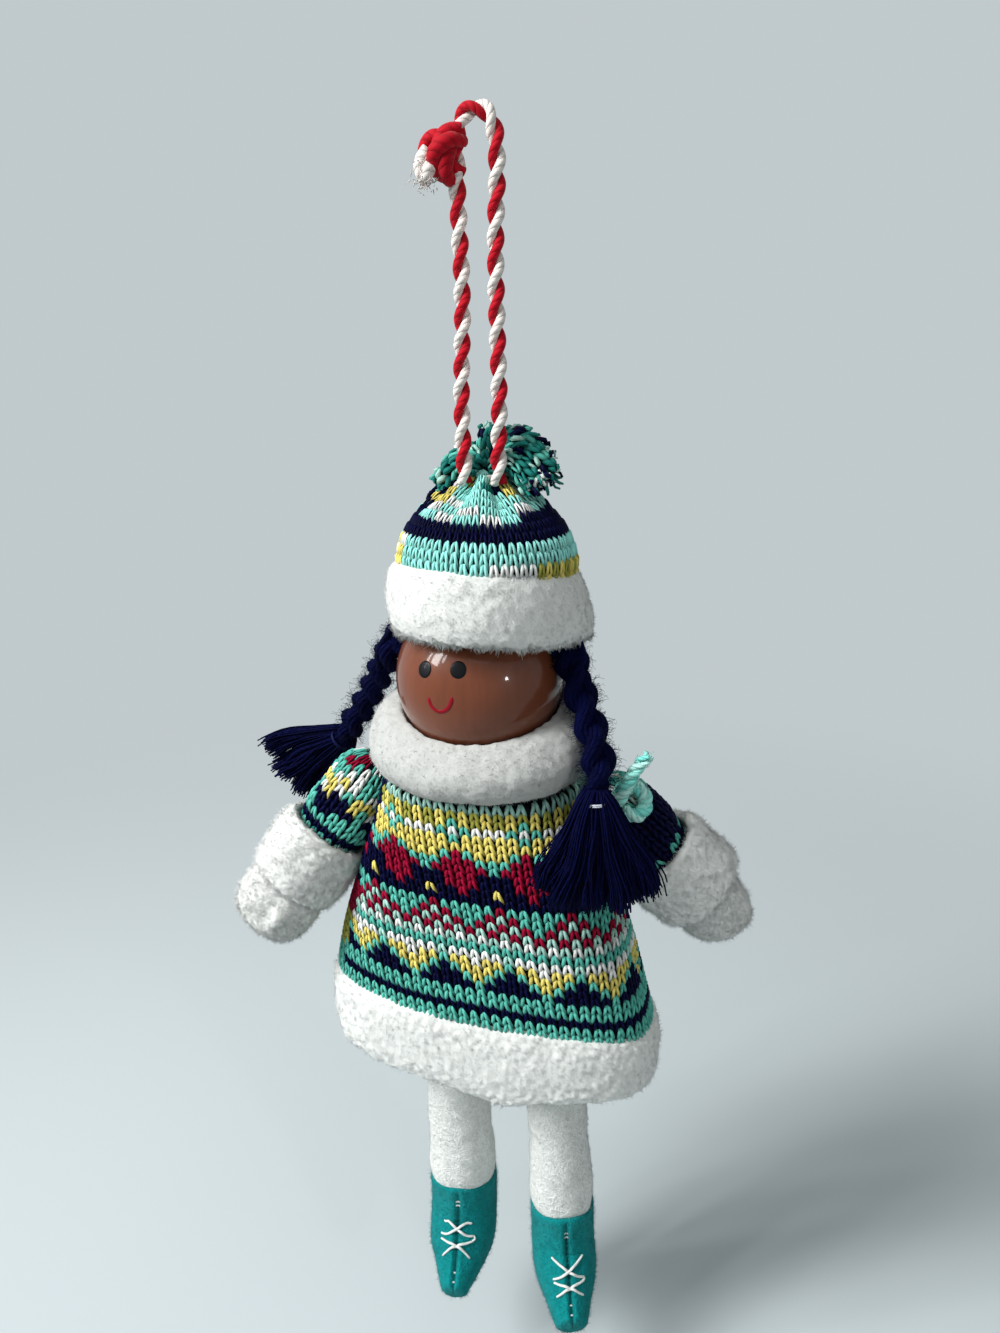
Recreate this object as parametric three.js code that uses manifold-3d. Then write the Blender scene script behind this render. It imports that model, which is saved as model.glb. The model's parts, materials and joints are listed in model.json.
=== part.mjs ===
// A hanging plush doll: a painted ball head with a knitted cap, two yarn plaits, a stuffed knitted
// dress with fleece trim, stuffed arms with mittens, and stuffed legs in laced felt boots.
// Millimetres, +Z up. The doll faces -Y, and left and right are the doll's own, so left is +X.
// The origin is the hanging point: the inside of the top of the cord loop.
import * as THREE from 'three';
import { mergeVertices } from 'three/addons/utils/BufferGeometryUtils.js';
import Module from 'manifold-3d';

const wasm = await Module();
wasm.setup();

// Driving dimensions

const CLEAR = 0.3; // gap between sewn, glued or stuffed pieces that touch on the real doll
const ROLL_CORNER = 0.75; // power of the outline of a fleece roll: 1 is a plain ellipse

// The route of the hanging cord, from the left end in the cap, over the hook and down to the right end
const CORD_D = 3.2;
const CORD_ROUTE = [
  [-3.5, -5.0, -64.8], [-3.6, -4.6, -58], [-3.8, -3.9, -50], [-3.6, -3.3, -42], [-3.3, -2.6, -34],
  [-3.3, -2.0, -26], [-3.6, -1.4, -18], [-3.8, -0.8, -11], [-3.8, -0.4, -5.5], [-3.3, -0.1, -1.4],
  [-1.9, 0, 0.8], [0, 0, 1.6], [1.9, 0, 0.8], [3.3, -0.1, -1.4], [3.8, -0.4, -5.5],
  [3.8, -0.8, -11], [3.5, -1.4, -18], [3.4, -2.0, -26], [3.5, -2.6, -34], [3.7, -3.3, -42],
  [3.8, -3.9, -50], [3.6, -4.6, -58], [3.5, -5.0, -64.8],
];
const CORD_SEAT = 0.6; // room under the cord's ends, so that the doll can swing on them
const KNOT_R = 3.5;
const KNOT_ALONG = 59.5; // length of cord from its left end to the knot
const KNOT_TAIL = 8;

// Cap
const CAP_R = 18.6;
const CAP_H = 15; // from the top of the brim to the gather
const CAP_TUCK = 4; // how far the knitting goes down behind the brim
const CAP_SLOPE = 0.17; // the cap sits back: its brim is higher at the front by this share of its depth
const KNIT = 1.8; // thickness of the knitted fabric
const GATHER_R = 2.4;
const GATHER_H = 2.2;
const TIE_R = 0.5; // sewing thread wound round the gather
const FRINGE_LEN = 11;
const FRINGE_W = 4.2;
const FRINGE_T = 1.8;
const FRINGE_HEADINGS = [5, 40, 75, 105, 140, 175]; // degrees from +X towards the back
const BRIM_H = 14.2;
const BRIM_T = 5.2;

// The body and head hang off the middle of the cap by these
const BODY_ASIDE = -3.4;
const BODY_FORWARD = 0.8;

// Head
const HEAD_R = 18;
const HEAD_IN_CAP = 6; // height of the ball that the cap hides
const DOWEL_R = 3;
const DOWEL_IN_HEAD = 9;
const DOWEL_IN_BODY = 12;
const HAIR_R = 1.7; // hank of yarn that crosses the ball under the cap and carries the plaits
const HAIR_SPAN = 62; // degrees from the top of the ball to each end of the hank

// Collar
const COLLAR_T = 13;
const COLLAR_H = 16.9;
const COLLAR_OUT = 26.5;
const COLLAR_DEEP = 23; // half depth, front to back
const COLLAR_UNDER_CHIN = 4; // how far the roll reaches below the ball
const COLLAR_BACK_RISE = 0.34; // share by which the back of the roll is taller, and the front lower

// Dress. The outline is half widths, and drops below the neckline
const DRESS_OUTLINE = [
  [8, 0], [19.5, 0.5], [23.4, 2.8], [25.8, 8.5], [28.4, 18], [33.6, 38], [37.4, 54], [38.2, 58],
];
const DRESS_DEEP_TOP = 15.5; // half depths, front to back
const DRESS_DEEP = 17.5;
const DRESS_CORNER = 0.8; // power of the dress's oval: 1 is a plain ellipse, less has fuller corners
const HEM_H = 17;
const HEM_T = 5.2;
const HEM_OUT = 2.6; // how far the fleece stands out from the knitting
const PANEL_T = 1.5; // cloth panel that closes the body
const PANEL_IN_HEM = 9; // how far up inside the hem that panel is sewn

// Arms, measured along the arm from the middle of the shoulder
const SHOULDER_OUT = 29.5;
const SHOULDER_DROP = 7.2; // below the neckline
const SEAM_OUT = 25; // inner edge of the shoulder seam, which the arm swings about
const ARM_BELOW_LEVEL = { left: 49, right: 54 }; // degrees
const ARM_FORWARD = { left: -15, right: 20 }; // degrees
const SHOULDER_R = 8;
const SLEEVE_R = 8.4;
const SLEEVE_END_R = 6.6;
const SLEEVE_LEN = 15.8;
const CUFF_FROM = 13.2;
const CUFF_LEN = 16;
const CUFF_T = 2.6;
const MITTEN_OUT = 13.7; // length of the hand beyond the cuff
const MITTEN_W = 15.6;
const MITTEN_THICK = 10.4;
const THUMB_R = 2.6;
const YARN_END_R = 1; // loose end of mint yarn at the left shoulder
const YARN_END_WAY = [0.47, -0.63, 0.6]; // from the middle of the shoulder to the middle of its curl

// Legs and boots
const LEG_APART = 25.4;
const LEG_ASIDE = 2.3; // the legs are sewn off the middle of the body by this
const LEG_R = 8.4;
const LEG_SHOWN = { left: 43.6, right: 40.6 }; // from the bottom of the hem to the top of the boot
const PLUSH = 1.2; // thickness of the leg cloth
const LEG_IN_BOOT = 4;
const BOOT_R = 8.9;
const FELT = 1.3;
const BOOT_DROP = 23.5; // from the boot's top to the middle of its toe
const BOOT_REACH = 18; // from the leg's axis to the toe
const TOE_R = 3;
const FOOT_TURN = { left: 20, right: 8 }; // degrees that the toe points to the left
const LACE_R = 0.4;
const LACE_SPREAD = 30; // degrees to each side of the front seam
const LACE_HOLES = [[0.44, 1], [0.66, -1], [0.7, -1], [0.85, 1]]; // share of the spine, and which side

// Plaits
const PLAIT_WIDTH = 8.3;
const PLAIT_STRAND_R = 1.35;
const PLAIT_PITCH = 21; // length in which a strand comes back to its place
const PLAIT_ROOT_R = 3.2;
const PLAIT_TIE_R = 0.7;
const TASSEL_LEN = 21;
const TASSEL_W = 25;
const TASSEL_T = 8;
// The way each plait hangs, as if on the left. At the root, the middle of the ball, the collar and the tie:
// how far it stands off the ball or the collar, and how far to the front it lies; below is from the middle
// of the ball. fall goes from the tie down the tassel, and facing is the way of the tassel's flat side
const PLAIT_HANG = {
  left: {
    off: [0.9, 0.9, -2.2, -2.4], front: [0.5, 2.6, 10.2, 14.2], below: [0, 12, 21.5],
    fall: [0.8, -2.8, -21], facing: [0.25, -0.97, 0],
  },
  right: {
    off: [0, 2.4, 2.2, 10.4], front: [0.5, -3, -9.4, -13.4], below: [0, 12, 24.5],
    fall: [20.6, 2.6, -15.75], facing: [0.4, 0.92, 0],
  },
};

// Heights that follow from them

const CAP_TOP = CORD_ROUTE[0][2] - CORD_SEAT;
const BRIM_TOP = CAP_TOP - CAP_H;
const BRIM_BOTTOM = BRIM_TOP - BRIM_H;
const BRIM_SIDE = BRIM_BOTTOM - CAP_SLOPE * CAP_R; // bottom of the brim at the sides
const HEAD_Z = BRIM_BOTTOM + HEAD_IN_CAP - HEAD_R;
const COLLAR_BOTTOM = HEAD_Z - HEAD_R - COLLAR_UNDER_CHIN;
const NECKLINE = COLLAR_BOTTOM - CLEAR;
const DRESS_H = DRESS_OUTLINE.at(-1)[1];
const DRESS_HALF_W = DRESS_OUTLINE.at(-1)[0];
const HEM_TOP = NECKLINE - DRESS_H - CLEAR;
const HEM_BOTTOM = HEM_TOP - HEM_H;
const PANEL_BOTTOM = HEM_BOTTOM + PANEL_IN_HEM;
const LEG_PIVOT = PANEL_BOTTOM - CLEAR - LEG_R;
const SEAM_Z = NECKLINE - 0.8;

// Shaping helpers

function solid(geometry) {
  const loose = geometry.index ? geometry.toNonIndexed() : geometry;
  const bare = new THREE.BufferGeometry().setAttribute('position', loose.getAttribute('position').clone());
  const merged = mergeVertices(bare, 1e-3);
  return new wasm.Manifold(new wasm.Mesh({
    numProp: 3,
    vertProperties: merged.attributes.position.array,
    triVerts: new Uint32Array(merged.index.array),
  }));
}

function geometryOf(manifold) {
  const mesh = manifold.getMesh();
  return new THREE.BufferGeometry()
    .setAttribute('position', new THREE.BufferAttribute(mesh.vertProperties, 3))
    .setIndex(new THREE.BufferAttribute(mesh.triVerts, 1));
}

function cut(whole, ...tools) {
  return geometryOf(tools.reduce((left, tool) => left.subtract(solid(tool)), solid(whole)));
}

function join(...pieces) {
  return geometryOf(pieces.map(solid).reduce((all, piece) => all.add(piece)));
}

// Moves every vertex of a geometry by a function of its place
function reshape(geometry, move) {
  const places = geometry.getAttribute('position');
  const point = new THREE.Vector3();
  for (let i = 0; i < places.count; i++) {
    move(point.fromBufferAttribute(places, i));
    places.setXYZ(i, point.x, point.y, point.z);
  }
  return geometry;
}

// A profile of [radius, height] pairs turned about Z
function revolve(profile, sides) {
  const points = profile.map(([r, z]) => new THREE.Vector2(r, z));
  return new THREE.LatheGeometry(points, sides).rotateX(Math.PI / 2);
}

// [radius, height] pairs on a smooth curve through a few of them
function smooth(pairs, steps) {
  const curve = new THREE.SplineCurve(pairs.map(([r, z]) => new THREE.Vector2(r, z)));
  return curve.getPoints(steps).map((p) => [p.x, p.y]);
}

// A power that keeps the sign: it makes an oval's corners fuller
const fuller = (value, power) => Math.sign(value) * Math.abs(value) ** power;

// The closed outline of a rolled band: a soft-cornered oval round [radius, height]
function rollOutline(radius, height, thick, tall, steps) {
  const soft = (value) => fuller(value, ROLL_CORNER);
  return Array.from({ length: steps + 1 }, (_, i) => {
    const turn = (-2 * Math.PI * i) / steps;
    return [radius + (thick / 2) * soft(Math.cos(turn)), height - (tall / 2) * soft(Math.sin(turn))];
  });
}

// Skins rings that have the same number of points. A looped skin joins its last ring to its first;
// otherwise both ends are capped
function skin(rings, looped) {
  const sides = rings[0].length;
  const places = rings.flat();
  const faces = [];
  const bands = looped ? rings.length : rings.length - 1;
  for (let i = 0; i < bands; i++) {
    for (let j = 0; j < sides; j++) {
      const next = (j + 1) % sides;
      const here = i * sides;
      const there = ((i + 1) % rings.length) * sides;
      faces.push(here + j, here + next, there + next, here + j, there + next, there + j);
    }
  }
  if (!looped) {
    [0, rings.length - 1].forEach((end) => {
      const middle = rings[end].reduce((sum, p) => sum.add(p), new THREE.Vector3()).divideScalar(sides);
      places.push(middle);
      for (let j = 0; j < sides; j++) {
        const edge = [end * sides + j, end * sides + ((j + 1) % sides)];
        faces.push(places.length - 1, ...(end ? edge : edge.reverse()));
      }
    });
  }
  return new THREE.BufferGeometry().setFromPoints(places).setIndex(faces);
}

function ovalRing(halfWidth, halfDepth, z, sides) {
  return Array.from({ length: sides }, (_, i) => {
    const turn = (2 * Math.PI * i) / sides;
    const x = halfWidth * fuller(Math.cos(turn), DRESS_CORNER);
    return new THREE.Vector3(x, halfDepth * fuller(Math.sin(turn), DRESS_CORNER), z);
  });
}

// A closed tube along a smooth curve through points
function tube(points, radius, sides, steps) {
  const path = new THREE.CatmullRomCurve3(points);
  const section = new THREE.Shape(Array.from({ length: sides }, (_, i) => {
    const turn = (2 * Math.PI * i) / sides;
    return new THREE.Vector2(radius * Math.cos(turn), radius * Math.sin(turn));
  }));
  return new THREE.ExtrudeGeometry(section, { steps, extrudePath: path, bevelEnabled: false });
}

const vector = ([x, y, z]) => new THREE.Vector3(x, y, z);
const radians = THREE.MathUtils.degToRad;

function headBall(radius) {
  return new THREE.SphereGeometry(radius, 22, 14).rotateX(Math.PI / 2).translate(0, 0, HEAD_Z);
}

function uprightCylinder(radius, bottom, top, sides) {
  return new THREE.CylinderGeometry(radius, radius, top - bottom, sides)
    .rotateX(Math.PI / 2)
    .translate(0, 0, (top + bottom) / 2);
}

// Materials

const fabric = (color) => new THREE.MeshStandardMaterial({ color, roughness: 0.95, metalness: 0 });
const fleece = fabric('#e9ecea');
const plush = fabric('#dfe2df');
const navyYarn = fabric('#0a1136');
const felt = fabric('#07898a');
const thread = fabric('#f1efe9');
const mintYarn = fabric('#45b39a');
const stuffing = fabric('#f4f3ee');
const knitwear = fabric('#2c6f74');
const cordYarn = fabric('#c8102e');
const panelCloth = fabric('#d8dad6');
const paintedBall = new THREE.MeshStandardMaterial({ color: '#8a4b37', roughness: 0.25, metalness: 0 });
const bareWood = new THREE.MeshStandardMaterial({ color: '#c9a777', roughness: 0.8, metalness: 0 });

const doll = new THREE.Group();
const body = new THREE.Group();
body.position.set(BODY_ASIDE, -BODY_FORWARD, 0);
doll.add(body);

function add(name, geometry, material, group = body) {
  const mesh = new THREE.Mesh(geometry, material);
  mesh.name = name;
  group.add(mesh);
  return mesh;
}

// Hanging cord and its knot

function hangingCord() {
  const route = CORD_ROUTE.map(vector);
  add('hanging_cord', tube(route, CORD_D / 2, 8, 40), cordYarn, doll);
  const path = new THREE.CatmullRomCurve3(route);
  const tied = path.getPointAt(KNOT_ALONG / path.getLength());
  const lump = new THREE.SphereGeometry(KNOT_R, 12, 8).translate(...tied);
  const tails = [[-0.85, -0.3, -0.35], [-0.5, -0.6, -0.85]].map((way) => {
    const end = vector(way).multiplyScalar(KNOT_TAIL).add(tied);
    return tube([tied, end], CORD_D / 2, 8, 2);
  });
  const knot = join(lump, ...tails);
  add('cord_knot', cut(knot, tube(route, CORD_D / 2 + CLEAR, 8, 40)), cordYarn, doll);
}

// Cap: knitted crown, fleece brim, gathering thread and cut fringe

// The front of the brim keeps its height, and the sides and back hang lower
function slopeCap(geometry) {
  return reshape(geometry, (p) => {
    const share = THREE.MathUtils.clamp((CAP_TOP - p.z) / CAP_H, 0, 1);
    p.z -= CAP_SLOPE * share * (p.y + CAP_R);
  });
}

function cap() {
  const inside = CAP_R - 2;
  const outer = smooth([
    [inside, BRIM_TOP - 0.6], [CAP_R, BRIM_TOP + 2], [CAP_R - 0.3, BRIM_TOP + 0.35 * CAP_H],
    [CAP_R - 5.6, CAP_TOP - 3.4], [GATHER_R + 6, CAP_TOP],
  ], 7);
  const inner = outer.map(([r, z], i) => [r - KNIT, i < 4 ? z : z - KNIT]).reverse();
  const profile = [
    [0, CAP_TOP - KNIT], ...inner, [inside - KNIT, BRIM_TOP - CAP_TUCK], [inside, BRIM_TOP - CAP_TUCK],
    ...outer, [GATHER_R, CAP_TOP], [GATHER_R, CAP_TOP + GATHER_H], [0, CAP_TOP + GATHER_H],
  ];
  add('cap_crown', slopeCap(revolve(profile, 20)), knitwear, doll);

  const ringR = GATHER_R + CLEAR + TIE_R;
  const winding = new THREE.TorusGeometry(ringR, TIE_R, 5, 14).translate(0, 0, CAP_TOP + CLEAR + TIE_R);
  add('cap_gathering_thread', winding, thread, doll);

  const foot = CAP_TOP + GATHER_H + CLEAR;
  const strips = FRINGE_HEADINGS.map((heading) => {
    const upright = Math.sin(radians(heading)) ** 2; // those at the back stand up, those at the sides splay
    const reach = FRINGE_LEN * (1 - 0.45 * upright);
    const rise = FRINGE_LEN * (0.2 + 0.36 * upright);
    const path = new THREE.QuadraticBezierCurve3(
      new THREE.Vector3(0.9, 0, foot + 0.75 * FRINGE_T),
      new THREE.Vector3(0.5 * reach, 0, foot + rise),
      new THREE.Vector3(reach, 0, foot + rise),
    );
    const section = new THREE.Shape([[-1, -1], [1, -1], [1, 1], [-1, 1]].map(
      ([x, y]) => new THREE.Vector2((x * FRINGE_W) / 2, (y * FRINGE_T) / 2),
    ));
    return new THREE.ExtrudeGeometry(section, { steps: 4, extrudePath: path, bevelEnabled: false })
      .rotateZ(radians(heading));
  });
  const stub = uprightCylinder(GATHER_R, foot, foot + FRINGE_T, 12);
  add('cap_fringe', join(stub, ...strips), knitwear, doll);

  const middle = CAP_R - 2 + CLEAR + BRIM_T / 2;
  const roll = revolve(rollOutline(middle, (BRIM_TOP + BRIM_BOTTOM) / 2, BRIM_T, BRIM_H, 10), 22);
  const within = [hairHank(HAIR_R + CLEAR), headBall(HEAD_R + CLEAR)];
  within.forEach((tool) => tool.translate(...body.position));
  add('cap_brim', cut(slopeCap(roll), ...within), fleece, doll);
}

// Hank of yarn over the top of the ball, between the two plaits

function hairHank(radius) {
  const over = HEAD_R + CLEAR + HAIR_R + 0.2;
  const points = Array.from({ length: 9 }, (_, i) => {
    const turn = radians(-HAIR_SPAN + (HAIR_SPAN * i) / 4);
    return new THREE.Vector3(over * Math.sin(turn), 0, HEAD_Z + over * Math.cos(turn));
  });
  return tube(points, radius, 8, 12);
}

// Ball head on its dowel

function head() {
  const hole = uprightCylinder(DOWEL_R + CLEAR, HEAD_Z - HEAD_R - 1, HEAD_Z - HEAD_R + DOWEL_IN_HEAD, 16);
  add('head_ball', cut(headBall(HEAD_R), hole), paintedBall);
  const dowelTop = HEAD_Z - HEAD_R + DOWEL_IN_HEAD - CLEAR;
  add('neck_dowel', uprightCylinder(DOWEL_R, NECKLINE - DOWEL_IN_BODY, dowelTop, 16), bareWood);
  add('hair_hank', hairHank(HAIR_R), navyYarn);
}

// Rolled fleece collar round the underside of the ball, taller at the back

function collarRoll(grow) {
  const outline = rollOutline(
    COLLAR_OUT - COLLAR_T / 2, COLLAR_BOTTOM + COLLAR_H / 2, COLLAR_T + 2 * grow, COLLAR_H + 2 * grow, 10,
  );
  return reshape(revolve(outline, 20), (p) => {
    p.z = COLLAR_BOTTOM + (p.z - COLLAR_BOTTOM) * (1 + (COLLAR_BACK_RISE * p.y) / COLLAR_OUT);
    p.y *= COLLAR_DEEP / COLLAR_OUT;
  });
}

function collar() {
  add('collar', cut(collarRoll(0), headBall(HEAD_R + CLEAR)), fleece);
}

// Dress: knitted shell, fleece hem, stuffing and the panel that closes it

const dressSpline = new THREE.SplineCurve(DRESS_OUTLINE.map(([w, drop]) => new THREE.Vector2(w, drop)));
const dressPoints = dressSpline.getPoints(10).map((p) => ({ wide: p.x, drop: p.y }));
const dressDepth = (drop) => THREE.MathUtils.lerp(DRESS_DEEP_TOP, DRESS_DEEP, Math.min(1, drop / 14));
const dressDepthAt = ({ wide, drop }) => dressDepth(drop) * Math.min(1, wide / DRESS_OUTLINE[1][0]);
// The dress outline drawn in by a thickness, as rings from the neck down. The drop of the flat shoulder
// is at least that thickness
function dressRings(inset, sides) {
  return dressPoints.map((point) => ovalRing(
    point.wide - inset, dressDepthAt(point) - inset, NECKLINE - Math.max(point.drop, inset), sides,
  ));
}

function dress() {
  const outer = dressRings(0, 24);
  const inner = dressRings(KNIT, 24).reverse();
  add('dress_knit', skin([...outer, ...inner].reverse(), true), knitwear);

  const hemMiddle = HEM_OUT - HEM_T / 2;
  const outline = rollOutline(hemMiddle, HEM_TOP - HEM_H / 2, HEM_T, HEM_H, 10).slice(0, -1);
  const hem = outline.map(([out, z]) => ovalRing(DRESS_HALF_W + out, DRESS_DEEP + out, z, 24));
  add('dress_hem', skin(hem, true), fleece);

  const panelInset = HEM_T - HEM_OUT + CLEAR;
  const panel = [0, PANEL_T].map((up) => ovalRing(
    DRESS_HALF_W - panelInset, DRESS_DEEP - panelInset, PANEL_BOTTOM + up, 24,
  ));
  add('base_panel', skin(panel, false), panelCloth);

  const top = dressRings(KNIT + CLEAR, 24);
  const low = ovalRing(
    DRESS_HALF_W - panelInset - CLEAR, DRESS_DEEP - panelInset - CLEAR, PANEL_BOTTOM + PANEL_T + CLEAR, 24,
  );
  const filling = skin([...top, low].reverse(), false);
  const dowelHole = uprightCylinder(DOWEL_R + CLEAR, NECKLINE - DOWEL_IN_BODY - CLEAR, NECKLINE + 1, 16);
  add('body_stuffing', cut(filling, dowelHole), stuffing);
}

// Arm, built hanging straight down from its shoulder seam and then swung out to its side

function shoulderDome(radius, steps) {
  return Array.from({ length: steps + 1 }, (_, i) => {
    const turn = (0.5 * Math.PI * i) / steps;
    return [radius * Math.cos(turn), radius * Math.sin(turn)];
  });
}

// A tube that hangs from a round top and is open below: [radius, height] pairs of its side, from the
// bottom up to the level of the seam
function hangingShell(side, thick, topR, sides) {
  const outer = [...side, ...shoulderDome(topR, 4).slice(1)];
  const inner = [...side.map(([r, z]) => [r - thick, z]), ...shoulderDome(topR - thick, 4).slice(1)];
  outer.at(-1)[0] = 0;
  inner.at(-1)[0] = 0;
  return revolve([...inner.reverse(), ...outer], sides);
}

function hangingFill(side, inset, topR, bottom, sides) {
  const within = side.filter(([, z]) => z > bottom).map(([r, z]) => [r - inset, z]);
  const dome = shoulderDome(topR - inset, 3).slice(1);
  const outline = [[0, bottom], [within[0][0], bottom], ...within, ...dome];
  outline.at(-1)[0] = 0;
  return revolve(outline, sides);
}

function mitten() {
  const wristR = SLEEVE_END_R - CLEAR;
  const from = -SLEEVE_LEN - CLEAR;
  const mouth = -CUFF_FROM - CUFF_LEN;
  const tip = mouth - MITTEN_OUT;
  const palm = revolve(smooth([
    [0, tip], [0.3 * MITTEN_W, tip + 1.4], [MITTEN_W / 2, tip + 0.45 * MITTEN_OUT],
    [0.47 * MITTEN_W, mouth - 1.5], [wristR, mouth + 1.5], [wristR, from - 2],
  ], 8).concat([[wristR, from], [0, from]]), 14);
  const flatness = MITTEN_THICK / MITTEN_W;
  reshape(palm, (p) => {
    p.y *= THREE.MathUtils.lerp(1, flatness, THREE.MathUtils.smoothstep(mouth + 2 - p.z, 0, 4));
  });
  const thumb = new THREE.SphereGeometry(THUMB_R, 10, 6)
    .scale(1, 1, 1.7)
    .translate(0, -MITTEN_THICK / 2, mouth - 0.5 * MITTEN_OUT);
  return join(palm, thumb);
}

// Where an arm is: the middle of the shoulder, and the turn that takes the hanging arm there
function armPlace(sideName, side) {
  const turn = new THREE.Matrix4().makeRotationY(-side * radians(90 - ARM_BELOW_LEVEL[sideName]));
  turn.multiply(new THREE.Matrix4().makeRotationX(-radians(ARM_FORWARD[sideName])));
  return turn.setPosition(side * SHOULDER_OUT, 0, NECKLINE - SHOULDER_DROP);
}

// What the top of an arm has to keep clear of, grown by a gap: the dress, the collar and all that is
// inside the shoulder seam
function besideArm(side, gap) {
  const trunk = skin(dressRings(-gap, 24).reverse(), false);
  const reach = 4 * SHOULDER_R;
  const inside = new THREE.BoxGeometry(reach, reach, reach);
  inside.translate(side * (SEAM_OUT - reach / 2), 0, SEAM_Z);
  return [trunk, collarRoll(gap), inside];
}

function arm(sideName, side) {
  const place = armPlace(sideName, side);
  const set = (geometry) => geometry.applyMatrix4(place);

  const sleeveSide = smooth([
    [SLEEVE_END_R, -SLEEVE_LEN], [SLEEVE_END_R + 0.1, -CUFF_FROM - 1],
    [SLEEVE_R, -0.5 * SLEEVE_LEN], [SHOULDER_R, 0],
  ], 5);
  const sleeve = set(hangingShell(sleeveSide, KNIT, SHOULDER_R, 14));
  add(`sleeve_${sideName}`, cut(sleeve, ...besideArm(side, CLEAR)), knitwear);
  const fill = set(hangingFill(sleeveSide, KNIT + CLEAR, SHOULDER_R, -SLEEVE_LEN + CLEAR, 10));
  add(`arm_stuffing_${sideName}`, cut(fill, ...besideArm(side, 2 * CLEAR)), stuffing);

  const cuffR = SLEEVE_END_R + 2 * CLEAR + CUFF_T / 2;
  const cuff = revolve(rollOutline(cuffR, -CUFF_FROM - CUFF_LEN / 2, CUFF_T, CUFF_LEN, 8), 14);
  add(`cuff_${sideName}`, set(cuff), fleece);
  add(`mitten_${sideName}`, set(mitten()), plush);
}

// Loose end of mint yarn, curled on the front of the left shoulder with its tail standing up

function shoulderYarnEnd() {
  const around = SHOULDER_R + 2 * CLEAR + YARN_END_R;
  const way = vector(YARN_END_WAY).normalize();
  const lean = new THREE.Quaternion().setFromUnitVectors(new THREE.Vector3(0, 0, 1), way);
  const curl = Array.from({ length: 9 }, (_, i) => {
    const turn = radians(-150 + 38 * i);
    const out = 2.6 + 0.12 * i;
    const [x, y] = [out * Math.cos(turn), out * Math.sin(turn)];
    return new THREE.Vector3(x, y, Math.sqrt(around ** 2 - x ** 2 - y ** 2) + 0.12 * i).applyQuaternion(lean);
  });
  const last = curl.at(-1);
  const tail = [[1, -0.2, 1.3], [2.2, -0.6, 2.2]].map((step) => vector(step).add(last));
  const yarn = tube([...curl, ...tail], YARN_END_R, 6, 16);
  yarn.translate(SHOULDER_OUT, 0, NECKLINE - SHOULDER_DROP);
  add('shoulder_yarn_end', yarn, mintYarn);
}

// Leg and boot

const bootSpine = new THREE.CatmullRomCurve3([
  [0, 0, 0], [0, 0, -0.34 * BOOT_DROP], [0, -0.14 * BOOT_REACH, -0.66 * BOOT_DROP],
  [0, -0.53 * BOOT_REACH, -0.87 * BOOT_DROP], [0, -BOOT_REACH, -BOOT_DROP],
].map(vector));

// Half width and half depth of the boot along its spine, 0 at the top and 1 at the toe
function bootSize(along) {
  const toTip = THREE.MathUtils.smoothstep(along, 0.55, 1.12);
  const heel = 0.6 * Math.sin(Math.PI * Math.min(1, along / 0.9));
  const wide = THREE.MathUtils.lerp(BOOT_R, TOE_R, toTip);
  return [wide, wide + heel];
}

// A point of the boot's skin: turn 0 is the front, and inset draws it in
function bootPoint(along, turn, inset) {
  const middle = bootSpine.getPoint(along);
  const heading = bootSpine.getTangent(along);
  const front = heading.clone().cross(new THREE.Vector3(1, 0, 0));
  const [wide, deep] = bootSize(along);
  return middle
    .addScaledVector(front, (deep - inset) * Math.cos(turn))
    .add(new THREE.Vector3((inset - wide) * Math.sin(turn), 0, 0));
}

function bootRings(from, to, inset, steps) {
  return Array.from({ length: steps + 1 }, (_, i) => {
    const along = THREE.MathUtils.lerp(from, to, i / steps);
    return Array.from({ length: 14 }, (_unused, j) => bootPoint(along, (2 * Math.PI * j) / 14, inset));
  });
}

function laces() {
  const stand = LACE_R + 2 * CLEAR;
  const threads = [-1, 1].map((hand) => {
    const points = LACE_HOLES.flatMap(([along, across], i) => {
      const here = bootPoint(along, radians(hand * across * LACE_SPREAD), -stand);
      if (i === LACE_HOLES.length - 1 || across === LACE_HOLES[i + 1][1]) return [here];
      const half = (along + LACE_HOLES[i + 1][0]) / 2;
      return [here, bootPoint(half, 0, -stand)];
    });
    return tube(points, LACE_R, 5, 10);
  });
  return join(...threads);
}

function leg(sideName, side) {
  const group = new THREE.Group();
  const x = LEG_ASIDE + (side * LEG_APART) / 2;
  group.position.set(x, 0, LEG_PIVOT);
  body.add(group);

  const bootTop = HEM_BOTTOM - LEG_SHOWN[sideName] - LEG_PIVOT;
  const spigotR = BOOT_R - FELT - 2 * CLEAR;
  const legSide = [
    [spigotR, bootTop - LEG_IN_BOOT], [spigotR, bootTop + CLEAR],
    [LEG_R - 0.2, bootTop + CLEAR + 0.4], [LEG_R + 0.2, bootTop + 4],
    [LEG_R - 0.3, 0.5 * bootTop], [LEG_R, 0],
  ];
  add(`leg_${sideName}`, hangingShell(legSide, PLUSH, LEG_R, 14), plush, group);
  const fill = hangingFill(legSide, PLUSH + CLEAR, LEG_R, bootTop - LEG_IN_BOOT + CLEAR, 10);
  add(`leg_stuffing_${sideName}`, fill, stuffing, group);

  const foot = new THREE.Group();
  foot.position.z = bootTop;
  foot.rotation.z = radians(FOOT_TURN[sideName]);
  group.add(foot);
  const outer = bootRings(0, 1, 0, 9);
  const inner = bootRings(0, 0.93, FELT, 7);
  const shell = cut(skin(outer, false), skin(inner, false));
  add(`boot_${sideName}`, shell, felt, foot);
  const sole = (LEG_IN_BOOT + 2 * CLEAR) / bootSpine.getLength();
  const bootFill = skin(bootRings(sole, 0.9, FELT + 1.5 * CLEAR, 7), false);
  add(`boot_stuffing_${sideName}`, bootFill, stuffing, foot);
  add(`boot_lace_${sideName}`, laces(), thread, foot);
}

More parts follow.
